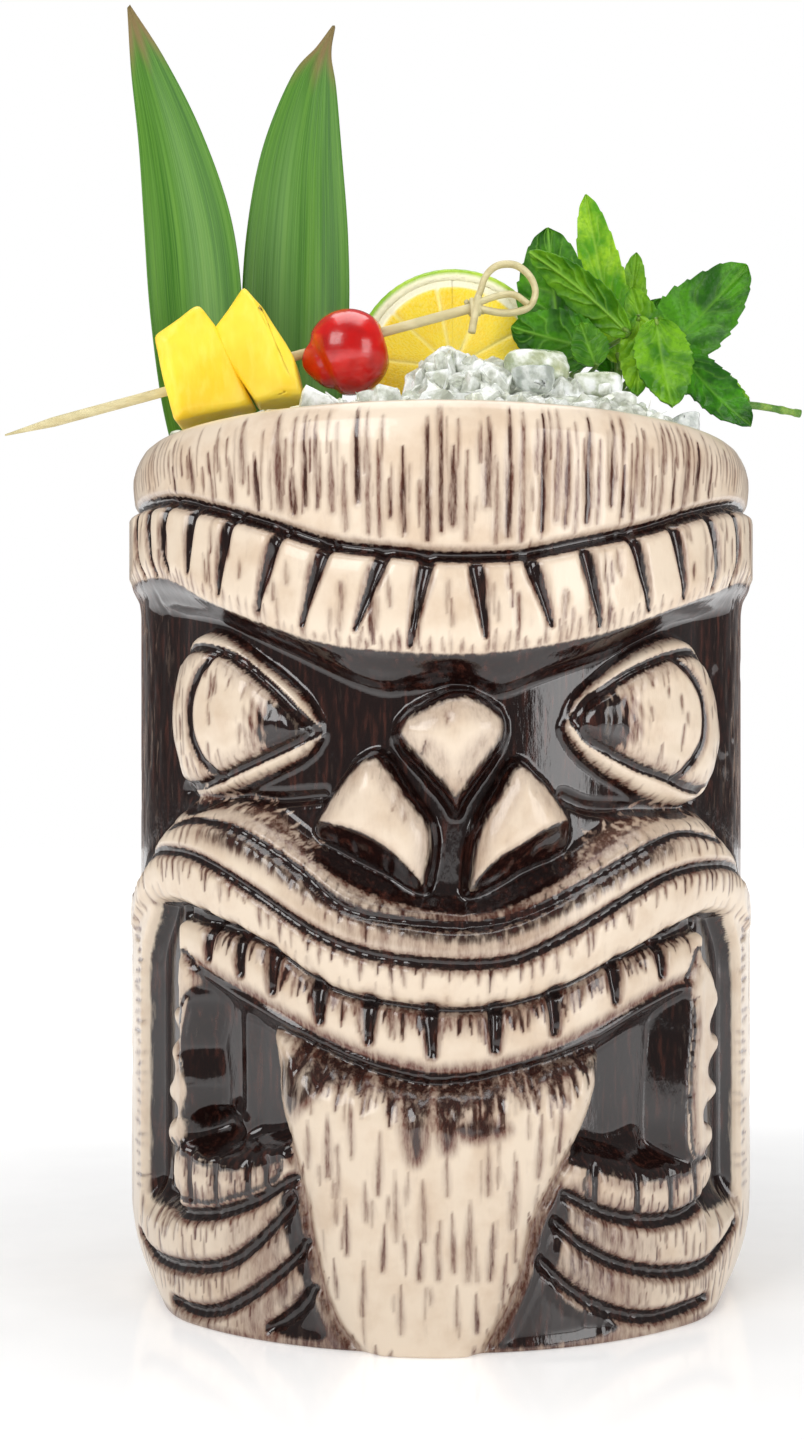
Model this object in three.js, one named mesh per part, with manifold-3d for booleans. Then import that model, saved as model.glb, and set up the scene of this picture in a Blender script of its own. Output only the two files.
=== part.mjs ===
// A carved-face tiki mug served with crushed ice and its garnish: two pineapple crown leaves, a knot
// pick with two fruit chunks and a cherry, a slice of citrus and three sprigs of mint.
// Millimetres. +Z is up, the mug's axis is the Z axis, its foot stands on z = 0 and its face looks
// along -Y, so +X is the viewer's right. Every garnish piece lifts straight up out of the ice.
import * as THREE from "three";
import { mergeVertices } from "three/addons/utils/BufferGeometryUtils.js";
import Module from "manifold-3d";

const wasm = await Module();
wasm.setup();

// Mug
const MUG_RADIUS = 47.5;
const MUG_HEIGHT = 125.8;
const FOOT_RADIUS = 43.5;
const FOOT_TAPER_HEIGHT = 14;
const RIM_START = 119.5; // where the outer wall starts to round over into the rim
const MUG_COLUMNS = 72; // steps round the mug, closer together on the face
const MUG_ROWS = 31; // steps up the outer wall between the foot taper and the rim

// Relief of the carving, measured from the plain wall
const SOCKET_DEPTH = 4.2; // recess between the brow and the lip
const SIDE_DEPTH = 1.8; // recessed hair at the sides of the eyes
const EYE_RISE = 4.0;
const NOSE_RISE = 6.6;
const TEETH_DEPTH = 2.0;
const MOUTH_DEPTH = 6.0;
const CHEEK_DEPTH = 3.2; // channel between the teeth and the jaw strip
const TONGUE_RISE = 1.2;

// Ice
const GAP = 0.35; // clearance between neighbouring pieces
const ICE_COLUMNS = 44;
const ICE_BOTTOM = 108;
const ICE_TOP = 126.9;
const LUMP_FLOOR = ICE_TOP + 0.9; // the flat underside of every loose lump

// Garnish
const LEAF_THICKNESS = 1.9;
const MINT_THICKNESS = 0.9;
const STEM_RADIUS = 1.0;
const PICK_RADIUS = 0.85;
const PICK_DEPTH = -17; // the pick lies across the mouth in this plane
const CHERRY_RADIUS = 6.6;
const CITRUS_RADIUS = 15.3;
const CITRUS_THICKNESS = 4.2;
const PEEL_THICKNESS = 1.9;

const v = (x, y, z) => new THREE.Vector3(x, y, z);

// A closed geometry as a manifold solid.
function toSolid(geometry) {
  const bare = geometry.clone();
  bare.deleteAttribute("normal");
  bare.deleteAttribute("uv");
  const merged = mergeVertices(bare, 1e-4);
  return new wasm.Manifold(
    new wasm.Mesh({
      numProp: 3,
      vertProperties: new Float32Array(merged.attributes.position.array),
      triVerts: new Uint32Array(merged.index.array),
    }),
  );
}

// A manifold solid back as a geometry.
function toGeometry(solid) {
  const mesh = solid.getMesh();
  const geometry = new THREE.BufferGeometry();
  geometry.setAttribute("position", new THREE.BufferAttribute(mesh.vertProperties, mesh.numProp));
  geometry.setIndex(new THREE.BufferAttribute(mesh.triVerts, 1));
  geometry.computeVertexNormals();
  return geometry;
}

// The first geometry with every other one cut out of it.
function cut(geometry, ...tools) {
  let solid = toSolid(geometry);
  for (const tool of tools) solid = solid.subtract(toSolid(tool));
  return toGeometry(solid);
}

// Geometries joined into one body.
function join(first, ...others) {
  let solid = toSolid(first);
  for (const other of others) solid = solid.add(toSolid(other));
  return toGeometry(solid);
}

// A smooth step from 0 at a to 1 at b, in either direction.
function ramp(a, b, x) {
  const t = Math.min(1, Math.max(0, (x - a) / (b - a)));
  return t * t * (3 - 2 * t);
}

// The height of a line through [along, height] points.
function heightAlong(points, along) {
  const last = points.length - 1;
  if (along <= points[0][0]) return points[0][1];
  for (let i = 0; i < last; i += 1) {
    const [a, ha] = points[i];
    const [b, hb] = points[i + 1];
    if (along <= b) return ha + ((hb - ha) * (along - a)) / (b - a);
  }
  return points[last][1];
}

// A dome of height 1 over an ellipse.
function dome(s, z, centreS, centreZ, halfWidth, halfHeight) {
  const d = ((s - centreS) / halfWidth) ** 2 + ((z - centreZ) / halfHeight) ** 2;
  return Math.sqrt(Math.max(0, 1 - d));
}

// Lines of the face: [distance from the middle, height].
const BROW_FOOT = [[0, 92.2], [10, 92.8], [20, 95], [30, 98.4], [40, 102.4], [50, 104.4], [60, 106]];
const LIP_TOP = [[0, 58], [10, 59.4], [20, 65], [30, 69.6], [40, 71.2], [50, 66], [58, 60]];
const LIP_FOOT = [[0, 45.8], [10, 46.6], [20, 50.5], [30, 55.8], [40, 58], [50, 56], [60, 52]];
const TEETH_FOOT = [[0, 37.2], [10, 38.5], [20, 42.5], [30, 46.6], [40, 48.5]];
const CHIN_TOP = [[0, 23], [22, 22], [30, 17], [40, 15.4], [50, 17.5], [60, 20]];
const TONGUE_EDGE = [[0, 9], [4, 13], [10, 15], [20, 18], [30, 22], [43, 24]]; // [height, half width]
const BOTTOM_TEETH_TOP = 24.5;

// How far the carved surface stands out from the plain wall, at s along the wall from the middle of
// the face and z above the foot.
function relief(s, z) {
  const side = Math.abs(s);
  let depth = 0;
  const browFoot = heightAlong(BROW_FOOT, side);
  const lipTop = heightAlong(LIP_TOP, side);
  const inSocket = ramp(browFoot, browFoot - 2.5, z) * ramp(lipTop - 0.5, lipTop + 2.5, z);
  depth -= inSocket * (SOCKET_DEPTH - (SOCKET_DEPTH - SIDE_DEPTH) * ramp(44, 50, side));
  depth += inSocket * EYE_RISE * dome(side, z, 33, 85.5, 15.5, 12);
  const nose = Math.max(dome(s, z, 1, 80, 9.5, 11), dome(side, z, 9.5, 69, 10.5, 8.5));
  depth += inSocket * NOSE_RISE * nose;

  const lipFoot = heightAlong(LIP_FOOT, side);
  const chinTop = heightAlong(CHIN_TOP, side);
  const inMouth = ramp(lipFoot, lipFoot - 2, z) * ramp(chinTop - 2, chinTop, z) * ramp(56, 52, side);
  const teethFoot = heightAlong(TEETH_FOOT, side);
  const inHollow = ramp(teethFoot, teethFoot - 3, z) * ramp(BOTTOM_TEETH_TOP - 2, 27, z) * ramp(40, 37, side);
  const inCheek = ramp(47, 49, side);
  depth -= inMouth * Math.max(TEETH_DEPTH, MOUTH_DEPTH * inHollow, CHEEK_DEPTH * inCheek);

  const tongueEdge = heightAlong(TONGUE_EDGE, z);
  const onTongue = ramp(tongueEdge + 1.5, tongueEdge - 1.5, side) * ramp(41, 34, z);
  return depth * (1 - onTongue) + TONGUE_RISE * onTongue;
}

// Radius of the outer wall before carving, rounding in at the foot.
function wallRadius(z) {
  if (z >= FOOT_TAPER_HEIGHT) return MUG_RADIUS;
  return FOOT_RADIUS + (MUG_RADIUS - FOOT_RADIUS) * Math.sin((Math.PI / 2) * (z / FOOT_TAPER_HEIGHT)) ** 0.8;
}

// The cup's inner wall and floor, from the rim down: [radius, height].
const INNER_WALL = [
  [43.6, 125.2],
  [43.0, 123.6],
  [42.6, 118],
  [42.2, 112.4],
  [39.6, 106.6],
  [38.6, 103.5],
  [38.4, 60],
  [38.2, 18],
  [36.8, 11.8],
  [33.4, 8.6],
  [28, 7.6],
  [0, 7.4],
];
const RIM_OUTSIDE = [[47.45, RIM_START + 1], [47.1, 122.7], [46.3, 124.6], [45.4, 125.6]];

function mugGeometry() {
  const profile = [[0, 0], [22, 0]];
  for (const z of [0, 1.2, 3.6, 6.8, 10.4]) profile.push([wallRadius(z), z]);
  const firstCarved = 3;
  for (let row = 0; row <= MUG_ROWS; row += 1) {
    const z = THREE.MathUtils.lerp(FOOT_TAPER_HEIGHT, RIM_START, row / MUG_ROWS);
    profile.push([MUG_RADIUS, z]);
  }
  const lastCarved = profile.length - 1;
  profile.push(...RIM_OUTSIDE, [44.7, MUG_HEIGHT], ...INNER_WALL);

  const outline = profile.map(([radius, height]) => new THREE.Vector2(radius, height));
  const geometry = new THREE.LatheGeometry(outline, MUG_COLUMNS);
  const position = geometry.attributes.position;
  for (let column = 0; column <= MUG_COLUMNS; column += 1) {
    const u = (2 * column) / MUG_COLUMNS - 1;
    const angle = Math.PI * (0.72 * u + 0.28 * u ** 3);
    profile.forEach(([plain, z], row) => {
      const carved = row >= firstCarved && row <= lastCarved;
      const radius = plain + (carved ? relief(angle * MUG_RADIUS, z) : 0);
      const wrap = column === MUG_COLUMNS ? -Math.PI : angle;
      position.setXYZ(
        column * profile.length + row,
        radius * Math.sin(wrap),
        -radius * Math.cos(wrap),
        z,
      );
    });
  }
  return cut(geometry);
}

// A smooth, repeatable unevenness between -1 and 1.
function unevenness(a, b, c) {
  return (Math.sin(a * 1.7 + c) + Math.sin(b * 2.3 - c * 1.3) + Math.sin((a + b) * 1.1 + c * 2.1)) / 3;
}

// The packed ice: a plug that rests on the shoulder inside the cup, with an uneven top and the
// slots that the garnish stands in.
function iceBedGeometry(slots) {
  const profile = [[0, ICE_BOTTOM], [20, ICE_BOTTOM], [39.8, ICE_BOTTOM]];
  profile.push([41.7, 112.4], [42.1, 118], [42.3, 123.4], [41.2, 125.4]);
  for (const radius of [35, 28, 21, 14, 7]) profile.push([radius, ICE_TOP]);
  profile.push([0, ICE_TOP]);
  const outline = profile.map(([radius, height]) => new THREE.Vector2(radius, height));
  const geometry = new THREE.LatheGeometry(outline, ICE_COLUMNS);
  geometry.rotateX(Math.PI / 2);
  const position = geometry.attributes.position;
  for (let i = 0; i < position.count; i += 1) {
    const radius = Math.hypot(position.getX(i), position.getY(i));
    if (position.getZ(i) < ICE_TOP - 0.1 || radius < 0.1) continue;
    const bump = 0.7 * unevenness(position.getX(i) / 4, position.getY(i) / 4, 1);
    position.setZ(i, ICE_TOP + bump);
  }
  return cut(geometry, ...slots);
}

// A slot with vertical sides, open at the top of the ice.
function slot(x, y, width, depth, bottom) {
  const height = ICE_TOP + 6 - bottom;
  return new THREE.BoxGeometry(width, depth, height).translate(x, y, bottom + height / 2);
}

// A loose lump of ice, broken irregularly and flat underneath.
function lumpGeometry(x, y, radius, height, seed) {
  const geometry = mergeVertices(bareIcosahedron());
  const position = geometry.attributes.position;
  for (let i = 0; i < position.count; i += 1) {
    const p = v(position.getX(i), position.getY(i), position.getZ(i));
    p.multiplyScalar(1 + 0.2 * unevenness(p.x * 3, p.y * 3, seed + p.z * 2));
    const z = LUMP_FLOOR + height * (0.5 + 0.62 * p.z);
    position.setXYZ(i, x + radius * p.x, y + radius * p.y, Math.max(LUMP_FLOOR, z));
  }
  return geometry;
}

function bareIcosahedron() {
  const geometry = new THREE.IcosahedronGeometry(1, 1);
  geometry.deleteAttribute("normal");
  geometry.deleteAttribute("uv");
  return geometry;
}

// A leaf blade: a thin closed sheet along a spine, as wide as its outline says.
// sections are [x, y, z, half width]; facing is the side that its cupped face looks to.
function bladeGeometry(sections, facing, thickness, cup, lengthSteps, widthSteps) {
  const spine = new THREE.CatmullRomCurve3(sections.map(([x, y, z]) => v(x, y, z)));
  const geometry = new THREE.BoxGeometry(2, 1, 1, widthSteps, 1, lengthSteps);
  const position = geometry.attributes.position;
  const last = sections.length - 1;
  for (let i = 0; i < position.count; i += 1) {
    const across = position.getX(i);
    const through = position.getY(i);
    const along = THREE.MathUtils.clamp(position.getZ(i) + 0.5, 0, 1);
    const section = Math.min(last - 1, Math.floor(along * last));
    const between = along * last - section;
    const halfWidth = THREE.MathUtils.lerp(sections[section][3], sections[section + 1][3], between);
    const centre = spine.getPoint(along);
    const forward = spine.getTangent(along);
    const sideways = v(0, 0, 0).crossVectors(facing, forward).normalize();
    const outward = v(0, 0, 0).crossVectors(forward, sideways).normalize();
    const lift = cup * halfWidth * across * across + through * thickness;
    centre.addScaledVector(sideways, across * halfWidth).addScaledVector(outward, lift);
    position.setXYZ(i, centre.x, centre.y, centre.z);
  }
  return mergeVertices(stripped(geometry), 1e-4);
}

function stripped(geometry) {
  geometry.deleteAttribute("normal");
  geometry.deleteAttribute("uv");
  return geometry;
}

// A round rod along a line or curve.
function rodGeometry(points, radius, steps, sides = 8) {
  const circle = new THREE.Shape();
  circle.absarc(0, 0, radius, 0, Math.PI * 2);
  const path = new THREE.CatmullRomCurve3(points);
  const options = { steps, extrudePath: path, curveSegments: sides / 2 };
  return new THREE.ExtrudeGeometry(circle, options);
}

// The pick: a bamboo shaft from its tip, over the rim, to a knot tied with a loop and a short tail.
const PICK_TIP = v(-64, PICK_DEPTH, 126.9);
const PICK_KNOT = v(5, PICK_DEPTH, 145.7);
const PICK_AXIS = PICK_KNOT.clone().sub(PICK_TIP).normalize();
const onPick = (distance) => PICK_TIP.clone().addScaledVector(PICK_AXIS, distance);

function pickGeometry() {
  const length = PICK_TIP.distanceTo(PICK_KNOT);
  const tip = new THREE.CylinderGeometry(PICK_RADIUS, 0.25, 6, 8);
  const shaft = new THREE.CylinderGeometry(PICK_RADIUS, PICK_RADIUS, length - 5, 8);
  const upright = new THREE.Quaternion().setFromUnitVectors(v(0, 1, 0), PICK_AXIS);
  tip.applyQuaternion(upright).translate(...onPick(3));
  shaft.applyQuaternion(upright).translate(...onPick(5.5 + (length - 5) / 2));
  const loop = rodGeometry(
    [v(5, -17, 145), v(5.9, -17.2, 147.6), v(6.5, -17.4, 150.4), v(8.6, -17.4, 152), v(11, -17, 151.9)].concat(
      [v(13.2, -16.4, 150.4), v(14, -15.9, 148.2), v(13, -15.8, 145.8), v(10, -16.2, 144.7), v(5, -16.9, 145.6)],
    ),
    0.8,
    26,
    6,
  );
  const tail = rodGeometry([v(5.4, -17.4, 146.5), v(4.6, -17.9, 141.5)], 0.8, 2, 6);
  return join(shaft, tip, loop, tail);
}

// A channel along the pick through a skewered piece.
function skewerHole(from, to) {
  const radius = PICK_RADIUS + GAP;
  const hole = new THREE.CylinderGeometry(radius, radius, to - from, 10);
  const upright = new THREE.Quaternion().setFromUnitVectors(v(0, 1, 0), PICK_AXIS);
  return hole.applyQuaternion(upright).translate(...onPick((from + to) / 2));
}

// A chunk of fruit: its outline across the view, cut to a thickness, with softened edges.
function chunkGeometry(outline, front, back) {
  const shape = new THREE.Shape(outline.map(([x, z]) => new THREE.Vector2(x, z)));
  const soft = 0.5;
  const block = new THREE.ExtrudeGeometry(shape, {
    depth: back - front - 2 * soft,
    bevelEnabled: true,
    bevelSize: soft,
    bevelOffset: -soft,
    bevelThickness: soft,
    bevelSegments: 1,
  });
  block.rotateX(Math.PI / 2).translate(0, back - soft, 0);
  return cut(block, skewerHole(10, 60));
}

function cherryGeometry() {
  const centre = v(-13.5, PICK_DEPTH, 138.8);
  const ball = new THREE.SphereGeometry(CHERRY_RADIUS, 18, 12);
  const nub = new THREE.CylinderGeometry(1.6, 2.4, 2.4, 10).rotateZ(Math.PI / 2);
  nub.translate(-CHERRY_RADIUS + 0.2, 0, 0.4);
  const whole = join(ball, nub).translate(centre.x, centre.y, centre.z);
  return cut(whole, skewerHole(30, 70));
}

const CITRUS_CENTRE = v(2.2, -3.5, 139.6);

// A flat ring or disc standing on its edge, facing the front.
function uprightLathe(profile, segments) {
  const outline = profile.map(([radius, along]) => new THREE.Vector2(radius, along));
  return new THREE.LatheGeometry(outline, segments).translate(...CITRUS_CENTRE);
}

function citrusPeelGeometry() {
  const half = CITRUS_THICKNESS / 2;
  const inner = CITRUS_RADIUS - PEEL_THICKNESS;
  return uprightLathe(
    [[inner, -half], [CITRUS_RADIUS - 0.3, -half], [CITRUS_RADIUS, -half + 0.4]].concat(
      [[CITRUS_RADIUS, half - 0.4], [CITRUS_RADIUS - 0.3, half], [inner, half], [inner, -half]],
    ),
    36,
  );
}

function citrusFleshGeometry() {
  const half = CITRUS_THICKNESS / 2 - 0.1;
  const radius = CITRUS_RADIUS - PEEL_THICKNESS - GAP;
  return uprightLathe([[0, -half], [radius, -half], [radius, half], [0, half]], 36);
}

// Materials
const finish = (color, roughness) => new THREE.MeshStandardMaterial({ color, roughness, metalness: 0 });
const CERAMIC = finish("#d9c7b2", 0.2);
const ICE = finish("#e6eef0", 0.1);
const CROWN_LEAF = finish("#3f7d35", 0.5);
const BAMBOO = finish("#c9b98d", 0.6);
const FRUIT = finish("#f5cf3f", 0.4);
const CHERRY = finish("#c3100f", 0.1);
const PEEL = finish("#a9c832", 0.4);
const FLESH = finish("#f3d43a", 0.3);
const MINT = finish("#2f8a1e", 0.5);
const STEM = finish("#5f8f3a", 0.5);

const tikiMug = new THREE.Group();

function place(name, geometry, material) {
  const mesh = new THREE.Mesh(geometry, material.clone());
  mesh.name = name;
  tikiMug.add(mesh);
}

place("mug_body", mugGeometry(), CERAMIC);

// Pineapple crown leaves, from the foot in the ice to the tip: [x, y, z, half width].
const LEFT_LEAF = [
  [-35.4, -3, 110, 3.6],
  [-36, -3, 124, 4.6],
  [-36.9, -3, 136, 6.2],
  [-37.6, -3, 149, 7.1],
  [-38.9, -2.8, 162, 6.7],
  [-41.6, -2.4, 175, 5],
  [-45.2, -1.8, 187, 2.6],
  [-48.6, -1, 197, 0.35],
];
const RIGHT_LEAF = [
  [-23.6, 4, 110, 4.6],
  [-23.4, 4, 124, 5.8],
  [-23.1, 4, 136, 7.4],
  [-22.9, 4.1, 149, 8.4],
  [-22.6, 4.3, 162, 8],
  [-21.9, 4.6, 175, 6.5],
  [-20.4, 5.2, 188, 3.9],
  [-17.2, 6, 196.5, 0.4],
];
const FACE_FRONT = v(0, -1, 0);
place("pineapple_leaf_left", bladeGeometry(LEFT_LEAF, FACE_FRONT, LEAF_THICKNESS, 0.2, 14, 4), CROWN_LEAF);
place("pineapple_leaf_right", bladeGeometry(RIGHT_LEAF, FACE_FRONT, LEAF_THICKNESS, 0.2, 14, 4), CROWN_LEAF);

// The skewer and what is on it.
place("cocktail_pick", pickGeometry(), BAMBOO);
const OUTER_CHUNK = [[-37.6, 127.6], [-27.3, 130.4], [-32.3, 141.4], [-34.6, 144.2], [-41.4, 139.6], [-39.8, 131]];
const INNER_CHUNK = [[-26.5, 130.2], [-19.7, 131], [-21.3, 137.4], [-23.6, 141.6], [-28.4, 147], [-31.5, 141.4]];
place("fruit_chunk_outer", chunkGeometry(OUTER_CHUNK, -23.5, -11.5), FRUIT);
place("fruit_chunk_inner", chunkGeometry(INNER_CHUNK, -23, -11), FRUIT);
place("cherry", cherryGeometry(), CHERRY);

place("citrus_rind", citrusPeelGeometry(), PEEL);
place("citrus_flesh", citrusFleshGeometry(), FLESH);

// Mint: each sprig is a stem and the leaves that grow from it. Two stand in the ice, and the right
// one lies on it, with the bare end of its stem out over the rim.
// A leaf is its foot, its tip, the side its face looks to and its half width.
const SPRIGS = {
  left: {
    stem: [v(20, 4, 112), v(20, 4, 128), v(19.6, 4, 138), v(18.6, 4, 146)],
    leaves: [
      [v(18.3, 6.2, 143), v(16.6, 8.6, 163.4), v(0.1, -1, 0.1), 4.9],
      [v(18.2, 2.6, 141), v(10.6, 2.2, 154.6), v(-0.2, -1, 0), 3.4],
      [v(27.6, 0.2, 145.2), v(13.2, 0.6, 158.2), v(-0.5, -0.75, -0.4), 2.1],
      [v(20.6, -0.6, 138.2), v(20.2, -2.4, 144.8), v(0, -1, 0.2), 2.3],
    ],
  },
  middle: {
    stem: [v(29, 8, 112), v(29, 8, 128), v(28.6, 8, 138), v(28, 8, 146)],
    leaves: [
      [v(27.4, 5.4, 148), v(22.9, 4.8, 169.3), v(-0.1, -1, 0.05), 2.9],
      [v(29.6, 8.2, 149), v(31, 9.4, 161.5), v(0, -1, 0), 1.9],
      [v(34.2, 3.4, 144), v(48.2, 5.6, 158.6), v(-0.1, -1, 0.15), 4.4],
      [v(33.4, -0.4, 142.6), v(29.6, -2, 151), v(0, -1, 0.1), 2.6],
    ],
  },
  right: {
    stem: [v(34.2, -7.6, 141), v(37, -7.6, 137), v(42.6, -7.4, 133.6), v(48, -6.4, 133.6), v(55.2, -5, 132.6)],
    leaves: [
      [v(32.6, -11.4, 144.5), v(32.8, -15.4, 132.6), v(0, -1, 0.2), 3.9],
      [v(36, -4.4, 142), v(39.4, -3.2, 138), v(0.1, -1, 0.1), 1.8],
      [v(37.6, -9.6, 139.2), v(45.6, -13, 129.6), v(0.1, -1, 0.3), 2.7],
      [v(40.4, -5, 137.8), v(46.4, -4.4, 134.2), v(0.1, -1, 0.3), 2.1],
    ],
  },
};

// A mint leaf's half width along its length, as a part of its widest.
const MINT_OUTLINE = [0.22, 0.82, 1, 0.86, 0.5, 0.1];

function mintLeafGeometry(foot, tip, facing, halfWidth) {
  const bow = facing.clone().multiplyScalar(-0.06 * foot.distanceTo(tip));
  const sections = MINT_OUTLINE.map((share, i) => {
    const t = i / (MINT_OUTLINE.length - 1);
    const p = foot.clone().lerp(tip, t).addScaledVector(bow, 4 * t * (1 - t));
    return [p.x, p.y, p.z, share * halfWidth];
  });
  return bladeGeometry(sections, facing, MINT_THICKNESS, 0.14, 7, 4);
}

for (const [side, sprig] of Object.entries(SPRIGS)) {
  place(`mint_stem_${side}`, rodGeometry(sprig.stem, STEM_RADIUS, 12), STEM);
  sprig.leaves.forEach(([foot, tip, facing, halfWidth], i) => {
    place(`mint_leaf_${side}_${i + 1}`, mintLeafGeometry(foot, tip, facing, halfWidth), MINT);
  });
}

// Ice, with the slots that the garnish stands in.
const slots = [
  slot(-35.8, -3.6, 10.4, 5.2, 109),
  slot(-23.5, 3.2, 12.8, 5.6, 109),
  slot(CITRUS_CENTRE.x, CITRUS_CENTRE.y, 2 * CITRUS_RADIUS - 4, CITRUS_THICKNESS + 2 * GAP, 123.8),
  slot(SPRIGS.left.stem[0].x, SPRIGS.left.stem[0].y, 3, 3, 111),
  slot(SPRIGS.middle.stem[0].x, SPRIGS.middle.stem[0].y, 3, 3, 111),
];
place("ice_bed", iceBedGeometry(slots), ICE);

// Loose lumps on the bed: [x, y, radius, height].
const LUMPS = [
  [-7, -31, 5.6, 5.2],
  [5.2, -30, 6.2, 9.8],
  [16.6, -26.5, 5.6, 8.4],
  [25, -17, 5, 7.6],
  [13, -13.6, 5.2, 8.2],
  [-17.2, -33.2, 3.6, 3.6],
  [38, -9.4, 2.8, 3.4],
  [-41.2, -8.4, 2.1, 3.6],
  [6, 15, 6.4, 7.4],
  [-9, 17, 6, 6.4],
  [18, 22, 6, 5.6],
  [-5, 31, 5.6, 5],
  [31, 18, 5, 4.6],
  [-21, 16, 5.4, 5],
];
LUMPS.forEach(([x, y, radius, height], i) => {
  place(`ice_lump_${i + 1}`, lumpGeometry(x, y, radius, height, i + 1), ICE);
});

export default tikiMug;
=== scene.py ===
"""A carved-face tiki mug served with crushed ice and its garnish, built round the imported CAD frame.

Lengths in this script are millimetres and become metres where a mesh is made. The mug's face is
carved on its unrolled wall: s runs along the wall from the middle of the face, with the viewer's
right positive, and z is the height above the foot.
"""
import math

import bmesh
import bpy
import numpy as np
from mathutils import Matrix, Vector


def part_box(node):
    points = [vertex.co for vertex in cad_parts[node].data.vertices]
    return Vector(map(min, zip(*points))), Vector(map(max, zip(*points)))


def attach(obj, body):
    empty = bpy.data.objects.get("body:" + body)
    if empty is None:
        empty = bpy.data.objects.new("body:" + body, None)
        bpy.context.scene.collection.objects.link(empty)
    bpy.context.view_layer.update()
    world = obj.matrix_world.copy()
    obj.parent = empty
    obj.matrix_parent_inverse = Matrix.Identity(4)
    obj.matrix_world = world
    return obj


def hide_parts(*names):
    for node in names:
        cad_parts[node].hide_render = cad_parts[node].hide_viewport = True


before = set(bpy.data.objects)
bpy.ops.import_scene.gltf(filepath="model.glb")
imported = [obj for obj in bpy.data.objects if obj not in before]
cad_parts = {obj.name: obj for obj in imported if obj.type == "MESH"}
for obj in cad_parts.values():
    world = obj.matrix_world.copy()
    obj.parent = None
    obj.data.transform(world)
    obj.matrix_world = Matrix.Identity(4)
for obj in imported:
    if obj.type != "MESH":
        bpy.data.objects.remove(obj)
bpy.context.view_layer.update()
MM = 0.001


# ---------------------------------------------------------------- camera, light and floor

CAMERA_DISTANCE = 296.9
EYE_HEIGHT = 68.2
LENS = 47.7
SHIFT = (-0.0271, 0.0803)


def make_camera():
    """The camera in front of the mug, a little above the middle of it."""
    data = bpy.data.cameras.new("camera")
    data.lens = LENS
    data.shift_x, data.shift_y = SHIFT
    camera = bpy.data.objects.new("camera", data)
    camera.location = Vector((0, -CAMERA_DISTANCE, EYE_HEIGHT)) * MM
    camera.rotation_euler = (math.pi / 2, 0, 0)
    bpy.context.scene.collection.objects.link(camera)
    bpy.context.scene.camera = camera


def softbox(name, place, target, width, height, power):
    """A rectangular area light at a place, facing a target."""
    data = bpy.data.lights.new(name, "AREA")
    data.shape = "RECTANGLE"
    data.size, data.size_y = width * MM, height * MM
    data.energy = power
    light = bpy.data.objects.new(name, data)
    light.location = Vector(place) * MM
    aim = (Vector(target) - Vector(place)).to_track_quat("-Z", "Y")
    light.rotation_euler = aim.to_euler()
    bpy.context.scene.collection.objects.link(light)


def make_world():
    """The light that surrounds the mug."""
    world = bpy.data.worlds.new("studio")
    world.use_nodes = True
    tree = world.node_tree
    room = tree.nodes["Background"]
    room.inputs["Strength"].default_value = 0.2
    seen = tree.nodes.new("ShaderNodeBackground")
    for background in (room, seen):
        background.inputs["Color"].default_value = (1, 1, 1, 1)
    light_path = tree.nodes.new("ShaderNodeLightPath")
    mix = tree.nodes.new("ShaderNodeMixShader")
    tree.links.new(light_path.outputs["Is Camera Ray"], mix.inputs["Fac"])
    tree.links.new(room.outputs["Background"], mix.inputs[1])
    tree.links.new(seen.outputs["Background"], mix.inputs[2])
    tree.links.new(mix.outputs["Shader"], tree.nodes["World Output"].inputs["Surface"])
    bpy.context.scene.world = world


# ---------------------------------------------------------------- materials


def paint(red, green, blue):
    """A display colour from 0 to 255 as Blender's linear colour."""
    shares = [channel / 255 for channel in (red, green, blue)]
    return (*[((c + 0.055) / 1.055) ** 2.4 if c > 0.04 else c / 12.92 for c in shares], 1)


# The Mix node's factor and its two colours among its inputs, and its colour among its outputs.
COLOUR_MIX_INPUTS = (0, 6, 7)
COLOUR_MIX_OUTPUT = 2


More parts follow.
